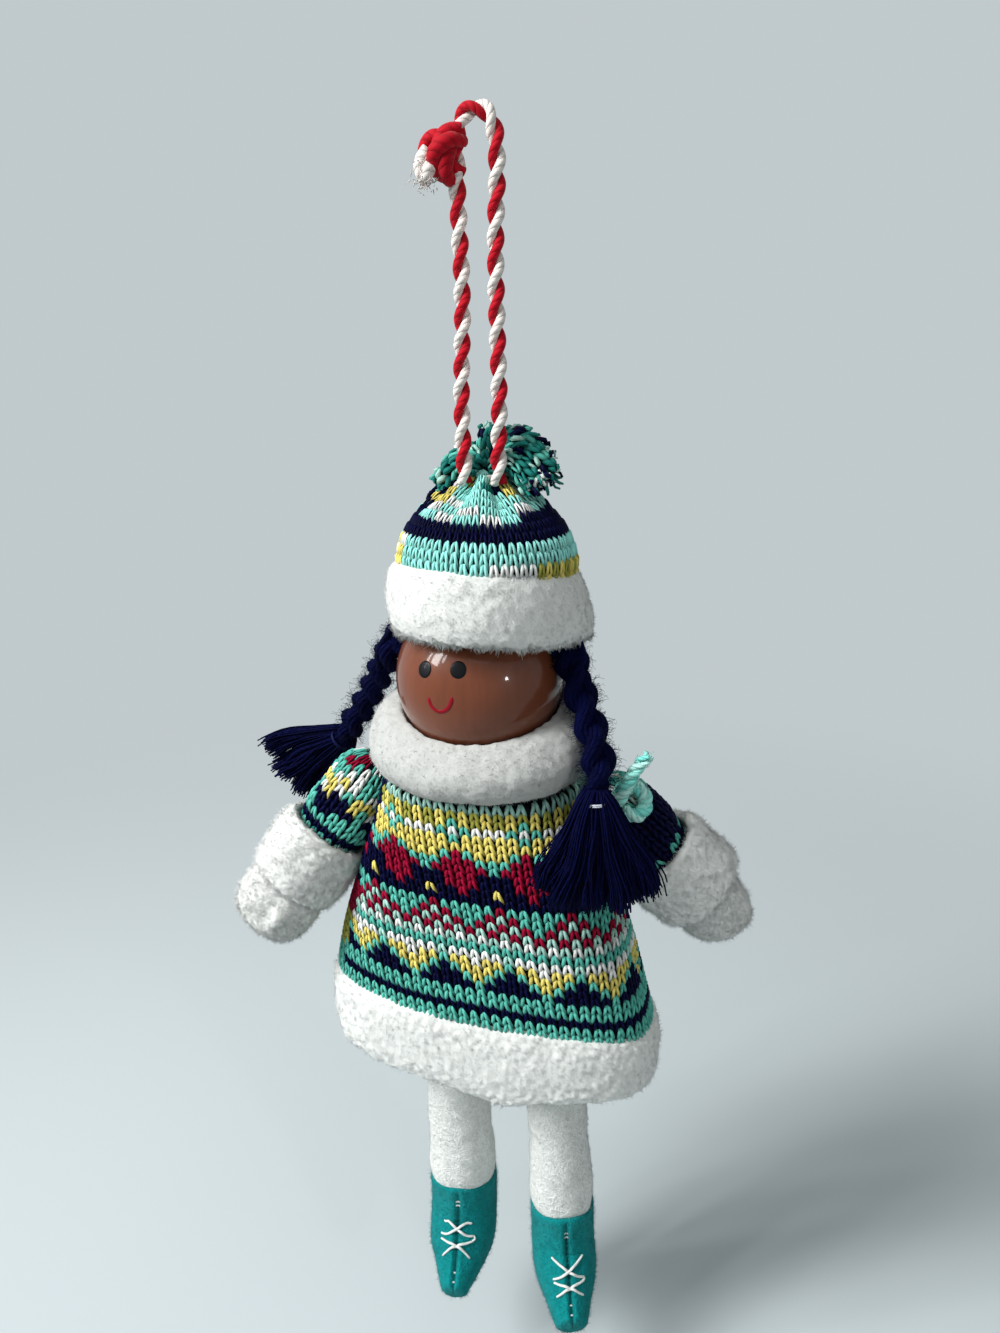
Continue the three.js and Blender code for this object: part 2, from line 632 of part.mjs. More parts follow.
// Plait of three yarn strands with its root, tie and tassel

// Places down the middle of a plait, from its root under the brim to its tie, as if on the left
function plaitPlaces(sideName) {
  const { off, front, below } = PLAIT_HANG[sideName];
  const rootZ = BRIM_SIDE - CLEAR - PLAIT_ROOT_R;
  const pastBall = Math.sqrt(HEAD_R ** 2 - (rootZ - HEAD_Z) ** 2) + CLEAR + PLAIT_ROOT_R;
  const pastHead = HEAD_R + PLAIT_WIDTH / 2;
  const pastCollar = COLLAR_OUT + PLAIT_WIDTH / 2;
  const heights = [rootZ, ...below.map((drop) => HEAD_Z - drop)];
  return [pastBall, pastHead, pastCollar, pastCollar].map((x, i) => [x + off[i], -front[i], heights[i]]);
}

function plait(sideName, side) {
  const { fall, facing } = PLAIT_HANG[sideName];
  const mirrored = ([x, y, z]) => new THREE.Vector3(side * x, y, z);
  const middle = new THREE.CatmullRomCurve3(plaitPlaces(sideName).map(mirrored));
  const [root, foot] = [middle.getPoint(0), middle.getPoint(1)];
  const ball = new THREE.SphereGeometry(PLAIT_ROOT_R, 10, 8).translate(...root);
  add(`plait_root_${sideName}`, ball, navyYarn);

  const length = middle.getLength();
  const lift = 0.73 * (2 * PLAIT_STRAND_R + CLEAR); // how far a strand stands out to pass over another
  const swing = PLAIT_WIDTH / 2 - PLAIT_STRAND_R;
  const from = (PLAIT_ROOT_R + CLEAR + 0.6) / length;
  const to = 1 - (PLAIT_TIE_R + PLAIT_STRAND_R + CLEAR) / length;
  for (let strand = 0; strand < 3; strand++) {
    const points = Array.from({ length: 22 }, (_, i) => {
      const along = THREE.MathUtils.lerp(from, to, i / 21);
      const heading = middle.getTangentAt(along);
      const out = new THREE.Vector3(side, -0.4, 0).projectOnPlane(heading).normalize();
      const across = heading.clone().cross(out);
      const phase = 2 * Math.PI * ((along * length) / PLAIT_PITCH + strand / 3);
      return middle.getPointAt(along)
        .addScaledVector(across, swing * Math.sin(phase))
        .addScaledVector(out, lift * Math.sin(2 * phase));
    });
    add(`plait_strand_${strand + 1}_${sideName}`, tube(points, PLAIT_STRAND_R, 6, 19), navyYarn);
  }

  const tassel = new THREE.Group();
  tassel.position.copy(foot);
  const down = mirrored(fall).normalize();
  const out = mirrored(facing).projectOnPlane(down).normalize();
  const hang = new THREE.Matrix4().makeBasis(down.clone().cross(out), out, down.clone().negate());
  tassel.setRotationFromMatrix(hang);
  body.add(tassel);
  const neckR = 0.28 * PLAIT_WIDTH;
  const tie = new THREE.TorusGeometry(neckR + CLEAR + PLAIT_TIE_R, PLAIT_TIE_R, 5, 12);
  add(`plait_tie_${sideName}`, tie, thread, tassel);
  const flare = smooth([
    [neckR, -PLAIT_TIE_R - CLEAR], [0.6 * neckR + 0.2 * TASSEL_W, -0.35 * TASSEL_LEN],
    [0.46 * TASSEL_W, -0.8 * TASSEL_LEN], [TASSEL_W / 2, -TASSEL_LEN],
  ], 5).reverse();
  const skirt = revolve([[0, -TASSEL_LEN], ...flare, [neckR, PLAIT_TIE_R], [0, PLAIT_TIE_R]], 24);
  reshape(skirt, (p) => {
    const flat = THREE.MathUtils.lerp(1, TASSEL_T / TASSEL_W, Math.min(1, (-p.z / TASSEL_LEN) * 1.6));
    const lock = 1 + 0.07 * Math.cos(12 * Math.atan2(p.y, p.x)) * Math.min(1, (-p.z / TASSEL_LEN) * 2);
    p.x *= lock;
    p.y *= flat * lock;
  });
  add(`tassel_${sideName}`, skirt, navyYarn, tassel);
}

hangingCord();
cap();
head();
collar();
dress();
arm('left', 1);
arm('right', -1);
shoulderYarnEnd();
leg('left', 1);
leg('right', -1);
plait('left', 1);
plait('right', -1);

export default doll;
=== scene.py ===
# %% [markdown]
# # A hanging plush doll
#
# This lesson dresses a small hanging doll: a lacquered ball head under a knitted cap, two yarn plaits, a
# knitted dress with fleece trim, stuffed arms with mittens and stuffed legs in felt boots.
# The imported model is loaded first. It fixes every size and place, and each soft solid in it is then
# replaced by a piece that has real stitches, strands or nap.
# Places are written in millimetres and turned into metres when a mesh is made.

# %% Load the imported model
import functools
import json
import math

import bpy
import numpy as np
from mathutils import Matrix, Vector, noise
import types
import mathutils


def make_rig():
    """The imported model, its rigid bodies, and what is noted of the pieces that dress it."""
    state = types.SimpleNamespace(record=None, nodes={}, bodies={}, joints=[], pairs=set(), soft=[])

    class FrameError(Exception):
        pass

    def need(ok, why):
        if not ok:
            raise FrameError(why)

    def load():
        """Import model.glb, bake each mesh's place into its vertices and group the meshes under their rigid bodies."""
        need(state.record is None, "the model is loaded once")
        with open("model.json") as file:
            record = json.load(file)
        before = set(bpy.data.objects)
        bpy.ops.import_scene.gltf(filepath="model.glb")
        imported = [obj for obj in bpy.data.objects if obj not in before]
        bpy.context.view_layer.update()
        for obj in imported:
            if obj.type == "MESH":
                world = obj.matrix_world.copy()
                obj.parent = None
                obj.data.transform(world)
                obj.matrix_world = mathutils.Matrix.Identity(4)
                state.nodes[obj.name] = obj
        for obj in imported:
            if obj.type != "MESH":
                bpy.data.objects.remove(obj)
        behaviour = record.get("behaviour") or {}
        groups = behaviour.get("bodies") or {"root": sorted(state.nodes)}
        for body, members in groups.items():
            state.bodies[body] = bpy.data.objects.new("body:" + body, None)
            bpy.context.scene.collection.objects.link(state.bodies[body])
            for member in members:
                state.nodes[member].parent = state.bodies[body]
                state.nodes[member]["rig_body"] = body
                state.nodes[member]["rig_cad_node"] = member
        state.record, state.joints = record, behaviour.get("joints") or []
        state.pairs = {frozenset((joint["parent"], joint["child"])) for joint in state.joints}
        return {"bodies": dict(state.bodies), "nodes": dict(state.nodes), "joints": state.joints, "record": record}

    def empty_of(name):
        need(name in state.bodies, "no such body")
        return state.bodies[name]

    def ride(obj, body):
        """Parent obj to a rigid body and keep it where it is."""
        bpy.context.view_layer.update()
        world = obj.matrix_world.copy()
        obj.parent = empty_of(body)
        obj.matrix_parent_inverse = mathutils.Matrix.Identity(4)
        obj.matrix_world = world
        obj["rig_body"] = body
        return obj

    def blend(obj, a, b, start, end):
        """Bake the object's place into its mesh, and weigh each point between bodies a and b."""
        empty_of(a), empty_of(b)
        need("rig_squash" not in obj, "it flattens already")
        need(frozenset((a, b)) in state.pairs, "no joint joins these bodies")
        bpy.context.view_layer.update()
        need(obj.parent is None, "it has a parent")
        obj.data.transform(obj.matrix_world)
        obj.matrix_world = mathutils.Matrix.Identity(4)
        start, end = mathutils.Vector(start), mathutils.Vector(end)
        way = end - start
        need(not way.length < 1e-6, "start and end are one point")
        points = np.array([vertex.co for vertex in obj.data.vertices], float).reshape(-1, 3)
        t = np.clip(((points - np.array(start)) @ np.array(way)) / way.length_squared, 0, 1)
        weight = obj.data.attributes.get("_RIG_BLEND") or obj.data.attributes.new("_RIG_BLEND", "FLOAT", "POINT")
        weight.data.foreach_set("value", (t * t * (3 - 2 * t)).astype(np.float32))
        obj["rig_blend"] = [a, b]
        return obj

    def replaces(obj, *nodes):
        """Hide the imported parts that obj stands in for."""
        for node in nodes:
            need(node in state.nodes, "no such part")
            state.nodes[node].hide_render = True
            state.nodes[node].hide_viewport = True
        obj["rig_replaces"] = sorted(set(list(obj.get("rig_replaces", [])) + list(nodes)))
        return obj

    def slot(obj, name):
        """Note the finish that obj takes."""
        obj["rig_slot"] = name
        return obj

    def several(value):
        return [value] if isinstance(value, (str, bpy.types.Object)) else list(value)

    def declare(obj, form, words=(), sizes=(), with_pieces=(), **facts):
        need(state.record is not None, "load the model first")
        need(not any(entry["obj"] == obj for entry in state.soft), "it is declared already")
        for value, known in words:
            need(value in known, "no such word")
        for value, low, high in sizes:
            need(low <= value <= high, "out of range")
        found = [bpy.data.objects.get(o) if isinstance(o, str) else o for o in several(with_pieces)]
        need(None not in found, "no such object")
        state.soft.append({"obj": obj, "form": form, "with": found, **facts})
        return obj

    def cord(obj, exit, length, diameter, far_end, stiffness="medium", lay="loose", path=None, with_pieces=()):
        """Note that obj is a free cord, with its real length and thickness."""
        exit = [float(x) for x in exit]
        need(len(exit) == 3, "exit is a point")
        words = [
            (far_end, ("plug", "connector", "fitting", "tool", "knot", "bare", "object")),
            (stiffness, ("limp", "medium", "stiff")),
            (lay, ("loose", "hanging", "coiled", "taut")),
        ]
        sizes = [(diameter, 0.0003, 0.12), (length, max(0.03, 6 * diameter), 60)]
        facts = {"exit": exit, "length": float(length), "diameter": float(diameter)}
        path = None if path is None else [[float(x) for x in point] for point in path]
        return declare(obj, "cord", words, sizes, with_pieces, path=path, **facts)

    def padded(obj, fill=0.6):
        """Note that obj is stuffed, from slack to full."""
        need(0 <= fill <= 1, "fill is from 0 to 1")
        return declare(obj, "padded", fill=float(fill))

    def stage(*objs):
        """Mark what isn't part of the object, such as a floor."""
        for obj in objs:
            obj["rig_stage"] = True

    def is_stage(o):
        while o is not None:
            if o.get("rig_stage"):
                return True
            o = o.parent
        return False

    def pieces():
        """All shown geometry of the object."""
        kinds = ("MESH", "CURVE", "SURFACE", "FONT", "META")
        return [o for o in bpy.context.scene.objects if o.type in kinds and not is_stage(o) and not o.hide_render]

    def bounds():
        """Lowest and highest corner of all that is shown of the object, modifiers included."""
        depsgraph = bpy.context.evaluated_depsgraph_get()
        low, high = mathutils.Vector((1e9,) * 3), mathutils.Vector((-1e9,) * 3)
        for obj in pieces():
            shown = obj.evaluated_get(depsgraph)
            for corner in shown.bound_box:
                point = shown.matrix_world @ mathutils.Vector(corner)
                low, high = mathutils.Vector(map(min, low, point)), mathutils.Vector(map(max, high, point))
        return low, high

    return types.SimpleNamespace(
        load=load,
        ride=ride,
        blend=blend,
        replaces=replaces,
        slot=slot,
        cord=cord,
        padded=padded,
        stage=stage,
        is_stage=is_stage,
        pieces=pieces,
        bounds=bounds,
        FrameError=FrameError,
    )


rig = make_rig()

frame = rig.load()
cad_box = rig.bounds()
bpy.ops.object.select_all(action="DESELECT")
MM = 0.001
chance = np.random.default_rng(11)
print("bodies:", sorted(frame["bodies"]))

# %% [markdown]
# ## Camera
#
# The picture was taken from close by, a little above the head and from the doll's left. A wide lens at
# that short distance gives the same strong perspective, so the head looks large and the boots small.

# %% Camera
CAMERA_PLACE = (0.0599, -0.1929, -0.0326)
CAMERA_YAW = 17
CAMERA_PITCH = -19.66
CAMERA_ROLL = -2
look = (
    Matrix.Rotation(math.radians(CAMERA_YAW), 3, "Z")
    @ Matrix.Rotation(math.radians(90 + CAMERA_PITCH), 3, "X")
    @ Matrix.Rotation(math.radians(CAMERA_ROLL), 3, "Z")
)
bpy.ops.object.camera_add(location=CAMERA_PLACE, rotation=look.to_euler())
camera = bpy.context.object
camera.data.sensor_width = 36
camera.data.lens = 27
camera.data.clip_start = 0.01
bpy.context.scene.camera = camera
print("camera looks along", [round(v, 3) for v in look @ Vector((0, 0, -1))])

# %% [markdown]
# ## Helpers for curves and colours
#
# Nearly everything on this doll is either a yarn, which is a tube along a path, or a skin of cloth, which
# is a grid of points. Both start from smooth curves through a few known places, so these come first.


# %% Curves and colours
def unit(vectors):
    return vectors / np.maximum(np.linalg.norm(vectors, axis=-1, keepdims=True), 1e-12)


def ink(code):
    """A colour written as six hex digits, as the linear light that shaders use."""
    parts = [int(code[i : i + 2], 16) / 255 for i in (0, 2, 4)]
    return np.array([p / 12.92 if p <= 0.04045 else ((p + 0.055) / 1.055) ** 2.4 for p in parts])


def full_turn(count):
    return np.linspace(0, 2 * np.pi, count, endpoint=False)


def run_along(path):
    """How far along a path each of its points is."""
    return np.concatenate([[0], np.cumsum(np.linalg.norm(np.diff(path, axis=0), axis=1))])


def curve_through(places, count):
    """Points at equal distances along a smooth curve through places."""
    places = np.asarray(places, float)
    ends = np.concatenate([2 * places[:1] - places[1:2], places, 2 * places[-1:] - places[-2:-1]])
    fine = []
    for i in range(len(places) - 1):
        a, b, c, d = ends[i : i + 4]
        t = np.linspace(0, 1, 40, endpoint=False)[:, None]
        fine.append(
            0.5 * (2 * b + (c - a) * t + (2 * a - 5 * b + 4 * c - d) * t**2 + (3 * b - a - 3 * c + d) * t**3)
        )
    fine = np.concatenate(fine + [places[-1:]])
    run = run_along(fine)
    at = np.linspace(0, run[-1], count)
    return np.stack([np.interp(at, run, fine[:, k]) for k in range(3)], -1)


print("a middle grey in linear light:", ink("808080").round(3))

# %% [markdown]
# ## Tubes of yarn
#
# A yarn could be a curve object with a bevel, but this doll has thousands of yarns. One helper therefore
# makes many tubes at once as plain arrays of points and faces. Each part also carries a tint for every
# point, and the distance along the yarn and the direction round it, from which the yarn finish draws the
# twist of the plies.


# %% Tubes
def sweep(paths, radii, sides, tint, facing=None, flat=1.0, ends=True):
    """Tubes along many paths at once. paths is tubes by rings by 3, in millimetres."""
    paths = np.asarray(paths, float)
    tubes, rings = paths.shape[:2]
    radii = np.broadcast_to(radii, (tubes, rings))
    ahead = unit(np.gradient(paths, axis=1))
    out = np.empty_like(paths)
    carried = np.where(np.abs(ahead[:, 0, 2:]) < 0.9, [[0, 0, 1.0]], [[1.0, 0, 0]])
    for ring in range(rings):
        carried = carried if facing is None else facing[:, ring]
        lean = (carried * ahead[:, ring]).sum(-1, keepdims=True)
        carried = unit(carried - lean * ahead[:, ring])
        out[:, ring] = carried
    beside = np.cross(ahead, out)
    turn = full_turn(sides)
    wave = np.stack([np.cos(turn), np.sin(turn)], -1)
    offset = flat * wave[:, :1] * out[:, :, None] + wave[:, 1:] * beside[:, :, None]
    points = paths[:, :, None] + radii[:, :, None, None] * offset
    steps = np.linalg.norm(np.diff(paths, axis=1), axis=-1)
    along = np.concatenate([np.zeros((tubes, 1)), np.cumsum(steps, 1)], 1)
    yarn = np.empty(points.shape)
    yarn[..., 0] = along[:, :, None]
    yarn[..., 1:] = wave
    tint = np.broadcast_to(np.asarray(tint, float), (tubes, rings, 3))
    first = (np.arange(tubes)[:, None, None] * rings + np.arange(rings - 1)[:, None]) * sides
    here = first + np.arange(sides)
    there = first + (np.arange(sides) + 1) % sides
    part = {
        "points": points.reshape(-1, 3),
        "quads": np.stack([here, there, there + sides, here + sides], -1).reshape(-1, 4),
        "tris": np.empty((0, 3), int),
        "tint": np.broadcast_to(tint[:, :, None], points.shape).reshape(-1, 3),
        "yarn": yarn.reshape(-1, 3),
    }
    if ends:
        for ring, order in ((0, (1, 0)), (rings - 1, (0, 1))):
            centre = len(part["points"]) + np.arange(tubes)[:, None]
            edge = (np.arange(tubes)[:, None] * rings + ring) * sides + np.arange(sides)
            corners = [edge, (edge // sides) * sides + (np.arange(sides) + 1) % sides]
            fan = np.stack([centre + 0 * edge, corners[order[0]], corners[order[1]]], -1)
            cap = np.concatenate([along[:, ring, None], np.ones((tubes, 1)), np.zeros((tubes, 1))], 1)
            part["points"] = np.concatenate([part["points"], paths[:, ring]])
            part["tint"] = np.concatenate([part["tint"], tint[:, ring]])
            part["yarn"] = np.concatenate([part["yarn"], cap])
            part["tris"] = np.concatenate([part["tris"], fan.reshape(-1, 3)])
    return part


trial = sweep([[(0, 0, 0), (0, 0, 1), (0, 0, 2)]], 0.5, 6, (1, 1, 1))
print("a short tube has", len(trial["quads"]), "sides and", len(trial["tris"]), "end faces")

# %% [markdown]
# ## Skins of cloth
#
# A stuffed or rolled cloth is a closed skin. It is built from rows of points, each row going once round,
# because rows are easy to shape by formula. Its faces are turned so that they point outwards.


# %% Skins
def skin(rows, tint, looped=False):
    """A grid of points as cloth, closed round each row. Open rows are capped; looped ones join up."""
    rows = np.asarray(rows, float)
    count, around = rows.shape[:2]
    bands = count if looped else count - 1
    here = np.arange(bands)[:, None] * around + np.arange(around)
    there = here - np.arange(around) + (np.arange(around) + 1) % around
    lower = (here + around) % (count * around)
    beyond = (there + around) % (count * around)
    points = rows.reshape(-1, 3)
    tris = np.empty((0, 3), int)
    if not looped:
        middles = rows[[0, -1]].mean(1)
        first, last = np.arange(around), (count - 1) * around + np.arange(around)
        top = np.stack([0 * first + len(points), first, np.roll(first, -1)], -1)
        bottom = np.stack([0 * last + len(points) + 1, np.roll(last, -1), last], -1)
        points = np.concatenate([points, middles])
        tris = np.concatenate([top, bottom])
    quads = np.stack([here, lower, beyond, there], -1).reshape(-1, 4)
    split = np.concatenate([tris, quads[:, [0, 1, 2]], quads[:, [0, 2, 3]]])
    a, b, c = (points[split[:, i]] for i in range(3))
    if (a * np.cross(b, c)).sum() < 0:
        quads, tris = quads[:, ::-1], tris[:, ::-1]
    return {
        "points": points,
        "quads": quads,
        "tris": tris,
        "tint": np.broadcast_to(np.asarray(tint, float), points.shape),
        "yarn": np.tile([0.0, 1.0, 0.0], (len(points), 1)),
    }


trial = skin([[(1, 0, z), (0, 1, z), (-1, 0, z), (0, -1, z)] for z in (0, 1)], (1, 1, 1))
print("a small closed skin has", len(trial["quads"]), "sides and", len(trial["tris"]), "end faces")

# %% [markdown]
# ## From parts to objects
#
# The parts of one piece are joined into one mesh, so that a cap of a thousand stitches is still one
# object. Writing the arrays straight into the mesh is much faster than adding faces one by one. The same
# helper says which body the piece rides on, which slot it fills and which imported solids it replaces.


# %% Objects
def settle(obj, finish, body, slot, nodes=()):
    """Give an object its finish, and say what it rides on and replaces."""
    obj.data.materials.clear()
    obj.data.materials.append(finish)
    if body:
        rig.ride(obj, body)
    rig.slot(obj, slot)
    if nodes:
        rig.replaces(obj, *nodes)
    obj.data.calc_loop_triangles()
    print(f"{obj.name}: {len(obj.data.loop_triangles)} triangles")
    return obj


def make(name, parts, finish, body, slot, nodes=()):
    """One finished object from its parts: the mesh, its attributes, its finish, and what it rides on."""
    starts = np.cumsum([0] + [len(p["points"]) for p in parts])
    points, tint, yarn = (np.concatenate([p[k] for p in parts]) for k in ("points", "tint", "yarn"))
    quads, tris = (
        np.concatenate([p[k] + start for p, start in zip(parts, starts)]) for k in ("quads", "tris")
    )
    mesh = bpy.data.meshes.new(name)
    sizes = np.repeat([4, 3], [len(quads), len(tris)])
    corners = np.concatenate([quads.ravel(), tris.ravel()])
    mesh.vertices.add(len(points))
    mesh.vertices.foreach_set("co", (points * MM).astype(np.float32).ravel())
    mesh.loops.add(len(corners))
    mesh.loops.foreach_set("vertex_index", corners.astype(np.int32))
    mesh.polygons.add(len(sizes))
    mesh.polygons.foreach_set("loop_start", np.concatenate([[0], np.cumsum(sizes)[:-1]]).astype(np.int32))
    mesh.update(calc_edges=True)
    shade = mesh.attributes.new("tint", "FLOAT_COLOR", "POINT")
    colours = np.concatenate([tint, np.ones((len(tint), 1))], 1)
    shade.data.foreach_set("color", colours.astype(np.float32).ravel())
    twist = mesh.attributes.new("yarn", "FLOAT_VECTOR", "POINT")
    twist.data.foreach_set("vector", yarn.astype(np.float32).ravel())
    mesh.shade_smooth()
    lit = np.concatenate([p.get("lit", np.zeros(p["points"].shape)) for p in parts])
    if lit.any():
        own = np.empty(lit.size, np.float32)
        mesh.vertices.foreach_get("normal", own)
        lit = np.where(lit.any(1, keepdims=True), lit, own.reshape(-1, 3))
        mesh.normals_split_custom_set_from_vertices(lit)
    obj = bpy.data.objects.new(name, mesh)
    bpy.context.scene.collection.objects.link(obj)
    return settle(obj, finish, body, slot, nodes)


print("objects before any piece is made:", len(bpy.data.objects))

# %% [markdown]
# ## Finishes
#
# Soft things look soft because of small shadows between their fibres, and not because of gloss. Two node
# groups give those shadows. One draws the twist of plies on any yarn, from the attributes that the tubes
# carry. The other mottles a napped cloth at two sizes. Each finish places a group with its own values.


# %% Finish groups
def wire(tree, kind, values=(), **settings):
    """A new node with its settings, and its inputs set to a value or linked to a socket."""
    node = tree.nodes.new(kind)
    for name, value in settings.items():
        setattr(node, name, value)
    for key, value in dict(values).items():
        if isinstance(value, bpy.types.NodeSocket):
            tree.links.new(value, node.inputs[key])
        else:
            node.inputs[key].default_value = value
    return node


def sums(tree, operation, *values):
    return wire(tree, "ShaderNodeMath", enumerate(values), operation=operation).outputs[0]


def group_of(name, takes):
    """A node group that takes plain numbers and gives a height and a shade."""
    tree = bpy.data.node_groups.new(name, "ShaderNodeTree")
    for title in takes:
        tree.interface.new_socket(title, in_out="INPUT", socket_type="NodeSocketFloat")
    for title in ("Height", "Shade"):
        tree.interface.new_socket(title, in_out="OUTPUT", socket_type="NodeSocketFloat")
    return tree, tree.nodes.new("NodeGroupInput").outputs, tree.nodes.new("NodeGroupOutput").inputs


def give(tree, height, depth, gives):
    """Give the height out, and a shade that is darkest where the height is low."""
    tree.links.new(height, gives["Height"])
    dark = sums(tree, "MULTIPLY", sums(tree, "SUBTRACT", 1.0, height), depth)
    tree.links.new(sums(tree, "SUBTRACT", 1.0, dark), gives["Shade"])


ply_twist, takes, gives = group_of("ply_twist", ["Plies", "Pitch", "Depth"])
yarn = wire(ply_twist, "ShaderNodeAttribute", attribute_name="yarn").outputs["Vector"]
along, across, beside = wire(ply_twist, "ShaderNodeSeparateXYZ", {0: yarn}).outputs
turned = sums(ply_twist, "ARCTAN2", beside, across)
run = sums(ply_twist, "DIVIDE", sums(ply_twist, "MULTIPLY", along, 2 * math.pi), takes["Pitch"])
phase = sums(ply_twist, "MULTIPLY", sums(ply_twist, "SUBTRACT", turned, run), takes["Plies"])
ridge = sums(ply_twist, "ABSOLUTE", sums(ply_twist, "SINE", sums(ply_twist, "MULTIPLY", phase, 0.5)))
give(ply_twist, sums(ply_twist, "POWER", ridge, 0.6), takes["Depth"], gives)

soft_nap, takes, gives = group_of("soft_nap", ["Coarse", "Fine", "Depth"])
place = wire(soft_nap, "ShaderNodeTexCoord").outputs["Object"]
clouds = wire(soft_nap, "ShaderNodeTexNoise", {"Vector": place, "Scale": takes["Coarse"], "Detail": 2.0})
specks = wire(soft_nap, "ShaderNodeTexNoise", {"Vector": place, "Scale": takes["Fine"], "Detail": 3.0})
both = sums(soft_nap, "MULTIPLY", clouds.outputs[0], specks.outputs[0])
give(soft_nap, sums(soft_nap, "MULTIPLY", both, 3.2), takes["Depth"], gives)
print("groups:", ply_twist.name, soft_nap.name)

# %% [markdown]
# ## One finish for each yarn and cloth
#
# Knitting yarn, cord, hair and thread differ in their plies, pitch and gloss. Fleece, plush and felt differ
# in the size of their mottles and how deep they look. One function with a few numbers gives them all, and
# the colours come from the tints that the parts carry.


# %% Finishes
def finish_of(name, group, values, rough, sheen, bump, tint=None):
    """A cloth or yarn finish: the tint darkened by a group's shade, and a bump from its height."""
    material = bpy.data.materials.new(name)
    material.use_nodes = True
    tree = material.node_tree
    shader = tree.nodes["Principled BSDF"]
    relief = wire(tree, "ShaderNodeGroup", node_tree=group)
    for key, value in values.items():
        relief.inputs[key].default_value = value
    if tint is None:
        dyed = wire(tree, "ShaderNodeAttribute", attribute_name="tint").outputs["Color"]
    else:
        dyed = (*tint, 1)
    shaded = {0: 1.0, 6: dyed, 7: relief.outputs["Shade"]}
    shaded = wire(tree, "ShaderNodeMix", shaded, data_type="RGBA", blend_type="MULTIPLY")
    tree.links.new(shaded.outputs[2], shader.inputs["Base Color"])
    raised = {"Strength": bump[0], "Distance": bump[1] * MM, "Height": relief.outputs["Height"]}
    raised = wire(tree, "ShaderNodeBump", raised)
    tree.links.new(raised.outputs[0], shader.inputs["Normal"])
    shader.inputs["Roughness"].default_value = rough
    shader.inputs["Sheen Weight"].default_value = sheen
    shader.inputs["Sheen Roughness"].default_value = 0.5
    shader.inputs["Specular IOR Level"].default_value = 0.06
    return material


def yarn_finish(name, plies, pitch, depth, *looks):
    return finish_of(name, ply_twist, {"Plies": plies, "Pitch": pitch, "Depth": depth}, *looks)


def nap_finish(name, coarse, fine, depth, *looks):
    return finish_of(name, soft_nap, {"Coarse": coarse, "Fine": fine, "Depth": depth}, *looks)


knitting_yarn = yarn_finish("knitting_yarn", 2, 5.5, 0.3, 0.55, 0.0, (0.4, 0.2))
cord_yarn = yarn_finish("cord_yarn", 3, 4.4, 0.3, 0.6, 0.1, (0.7, 0.25))
hair_yarn = yarn_finish("hair_yarn", 3, 5.0, 0.4, 0.8, 0.0, (0.5, 0.2))
sewing_thread = yarn_finish("sewing_thread", 3, 1.6, 0.15, 0.45, 0.0, (0.3, 0.1))
fleece = nap_finish("fleece", 520, 2600, 0.1, 0.95, 0.1, (0.3, 0.25))
plush = nap_finish("plush", 700, 3200, 0.2, 0.95, 0.1, (0.5, 0.25))
leg_plush = nap_finish("leg_plush", 800, 2300, 0.32, 0.95, 0.1, (0.8, 0.35))
felt = nap_finish("felt", 420, 2000, 0.36, 0.9, 0.05, (0.9, 0.35))
print("finishes:", [m.name for m in bpy.data.materials])

# %% [markdown]
# ## Hanging cord
#
# The doll hangs by a loop of two thick yarns, one red and one white, laid round each other like a rope.
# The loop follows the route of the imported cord. Each yarn is a tube that winds round that route, so the
# bands of red and white come from the real lay and not from a painted pattern.

# %% Hanging cord
CORD_ROUTE = [
    (-3.5, -5.0, -64.8), (-3.6, -4.6, -58), (-3.8, -3.9, -50), (-3.6, -3.3, -42), (-3.3, -2.6, -34),
    (-3.3, -2.0, -26), (-3.6, -1.4, -18), (-3.8, -0.8, -11), (-3.8, -0.4, -5.5), (-3.3, -0.1, -1.4),
    (-1.9, 0, 0.8), (0, 0, 1.6), (1.9, 0, 0.8), (3.3, -0.1, -1.4), (3.8, -0.4, -5.5),
    (3.8, -0.8, -11), (3.5, -1.4, -18), (3.4, -2.0, -26), (3.5, -2.6, -34), (3.7, -3.3, -42),
    (3.8, -3.9, -50), (3.6, -4.6, -58), (3.5, -5.0, -64.8),
]
CORD_D = 3.2
CORD_PITCH = 8.9
CORD_RED = ink("b80f22")
CORD_WHITE = ink("e9e1da")


def laid(path, radius, pitch, tints, start=0.0, sides=10, taper=None):
    """Yarns laid round each other along one path, evenly spaced, like a small rope."""
    path = np.asarray(path)
    ahead = unit(np.gradient(path, axis=0))
    out = np.empty_like(path)
    carried = np.array([0.0, -1.0, 0.0])
    for i, way in enumerate(ahead):
        carried = unit(carried - (carried @ way) * way)
        out[i] = carried
    beside = np.cross(ahead, out)
    run = run_along(path)
    yarns = []
    for n, tint in enumerate(tints):
        turn = (start + n * 2 * np.pi / len(tints) + 2 * np.pi * run / pitch)[:, None]
        off = 0.49 * radius * (np.cos(turn) * out + np.sin(turn) * beside)
        thick = np.full(len(path), 0.55 * radius) if taper is None else 0.55 * radius * taper
        yarns.append(sweep((path + off)[None], thick[None], sides, tint))
    return yarns


cord_path = curve_through(CORD_ROUTE, 300)
cord_length = run_along(cord_path)[-1]
cord_parts = laid(cord_path, CORD_D / 2, CORD_PITCH, [CORD_RED, CORD_WHITE], start=2.2, sides=12)
hanging_cord = make(
    "hanging_cord_rope", cord_parts, cord_yarn, "hanging_loop", "cord_yarn", ["hanging_cord"]
)
print("cord length in mm:", round(cord_length, 1))

# %% [markdown]
# ## Knot
#
# The loop is closed by a fat overhand knot on its left leg. One end leaves it as a thick tail that has
# started to come apart, so its white yarn swells. A short turn of the same rope round the cord, and the
# two ends of it, give that lump.

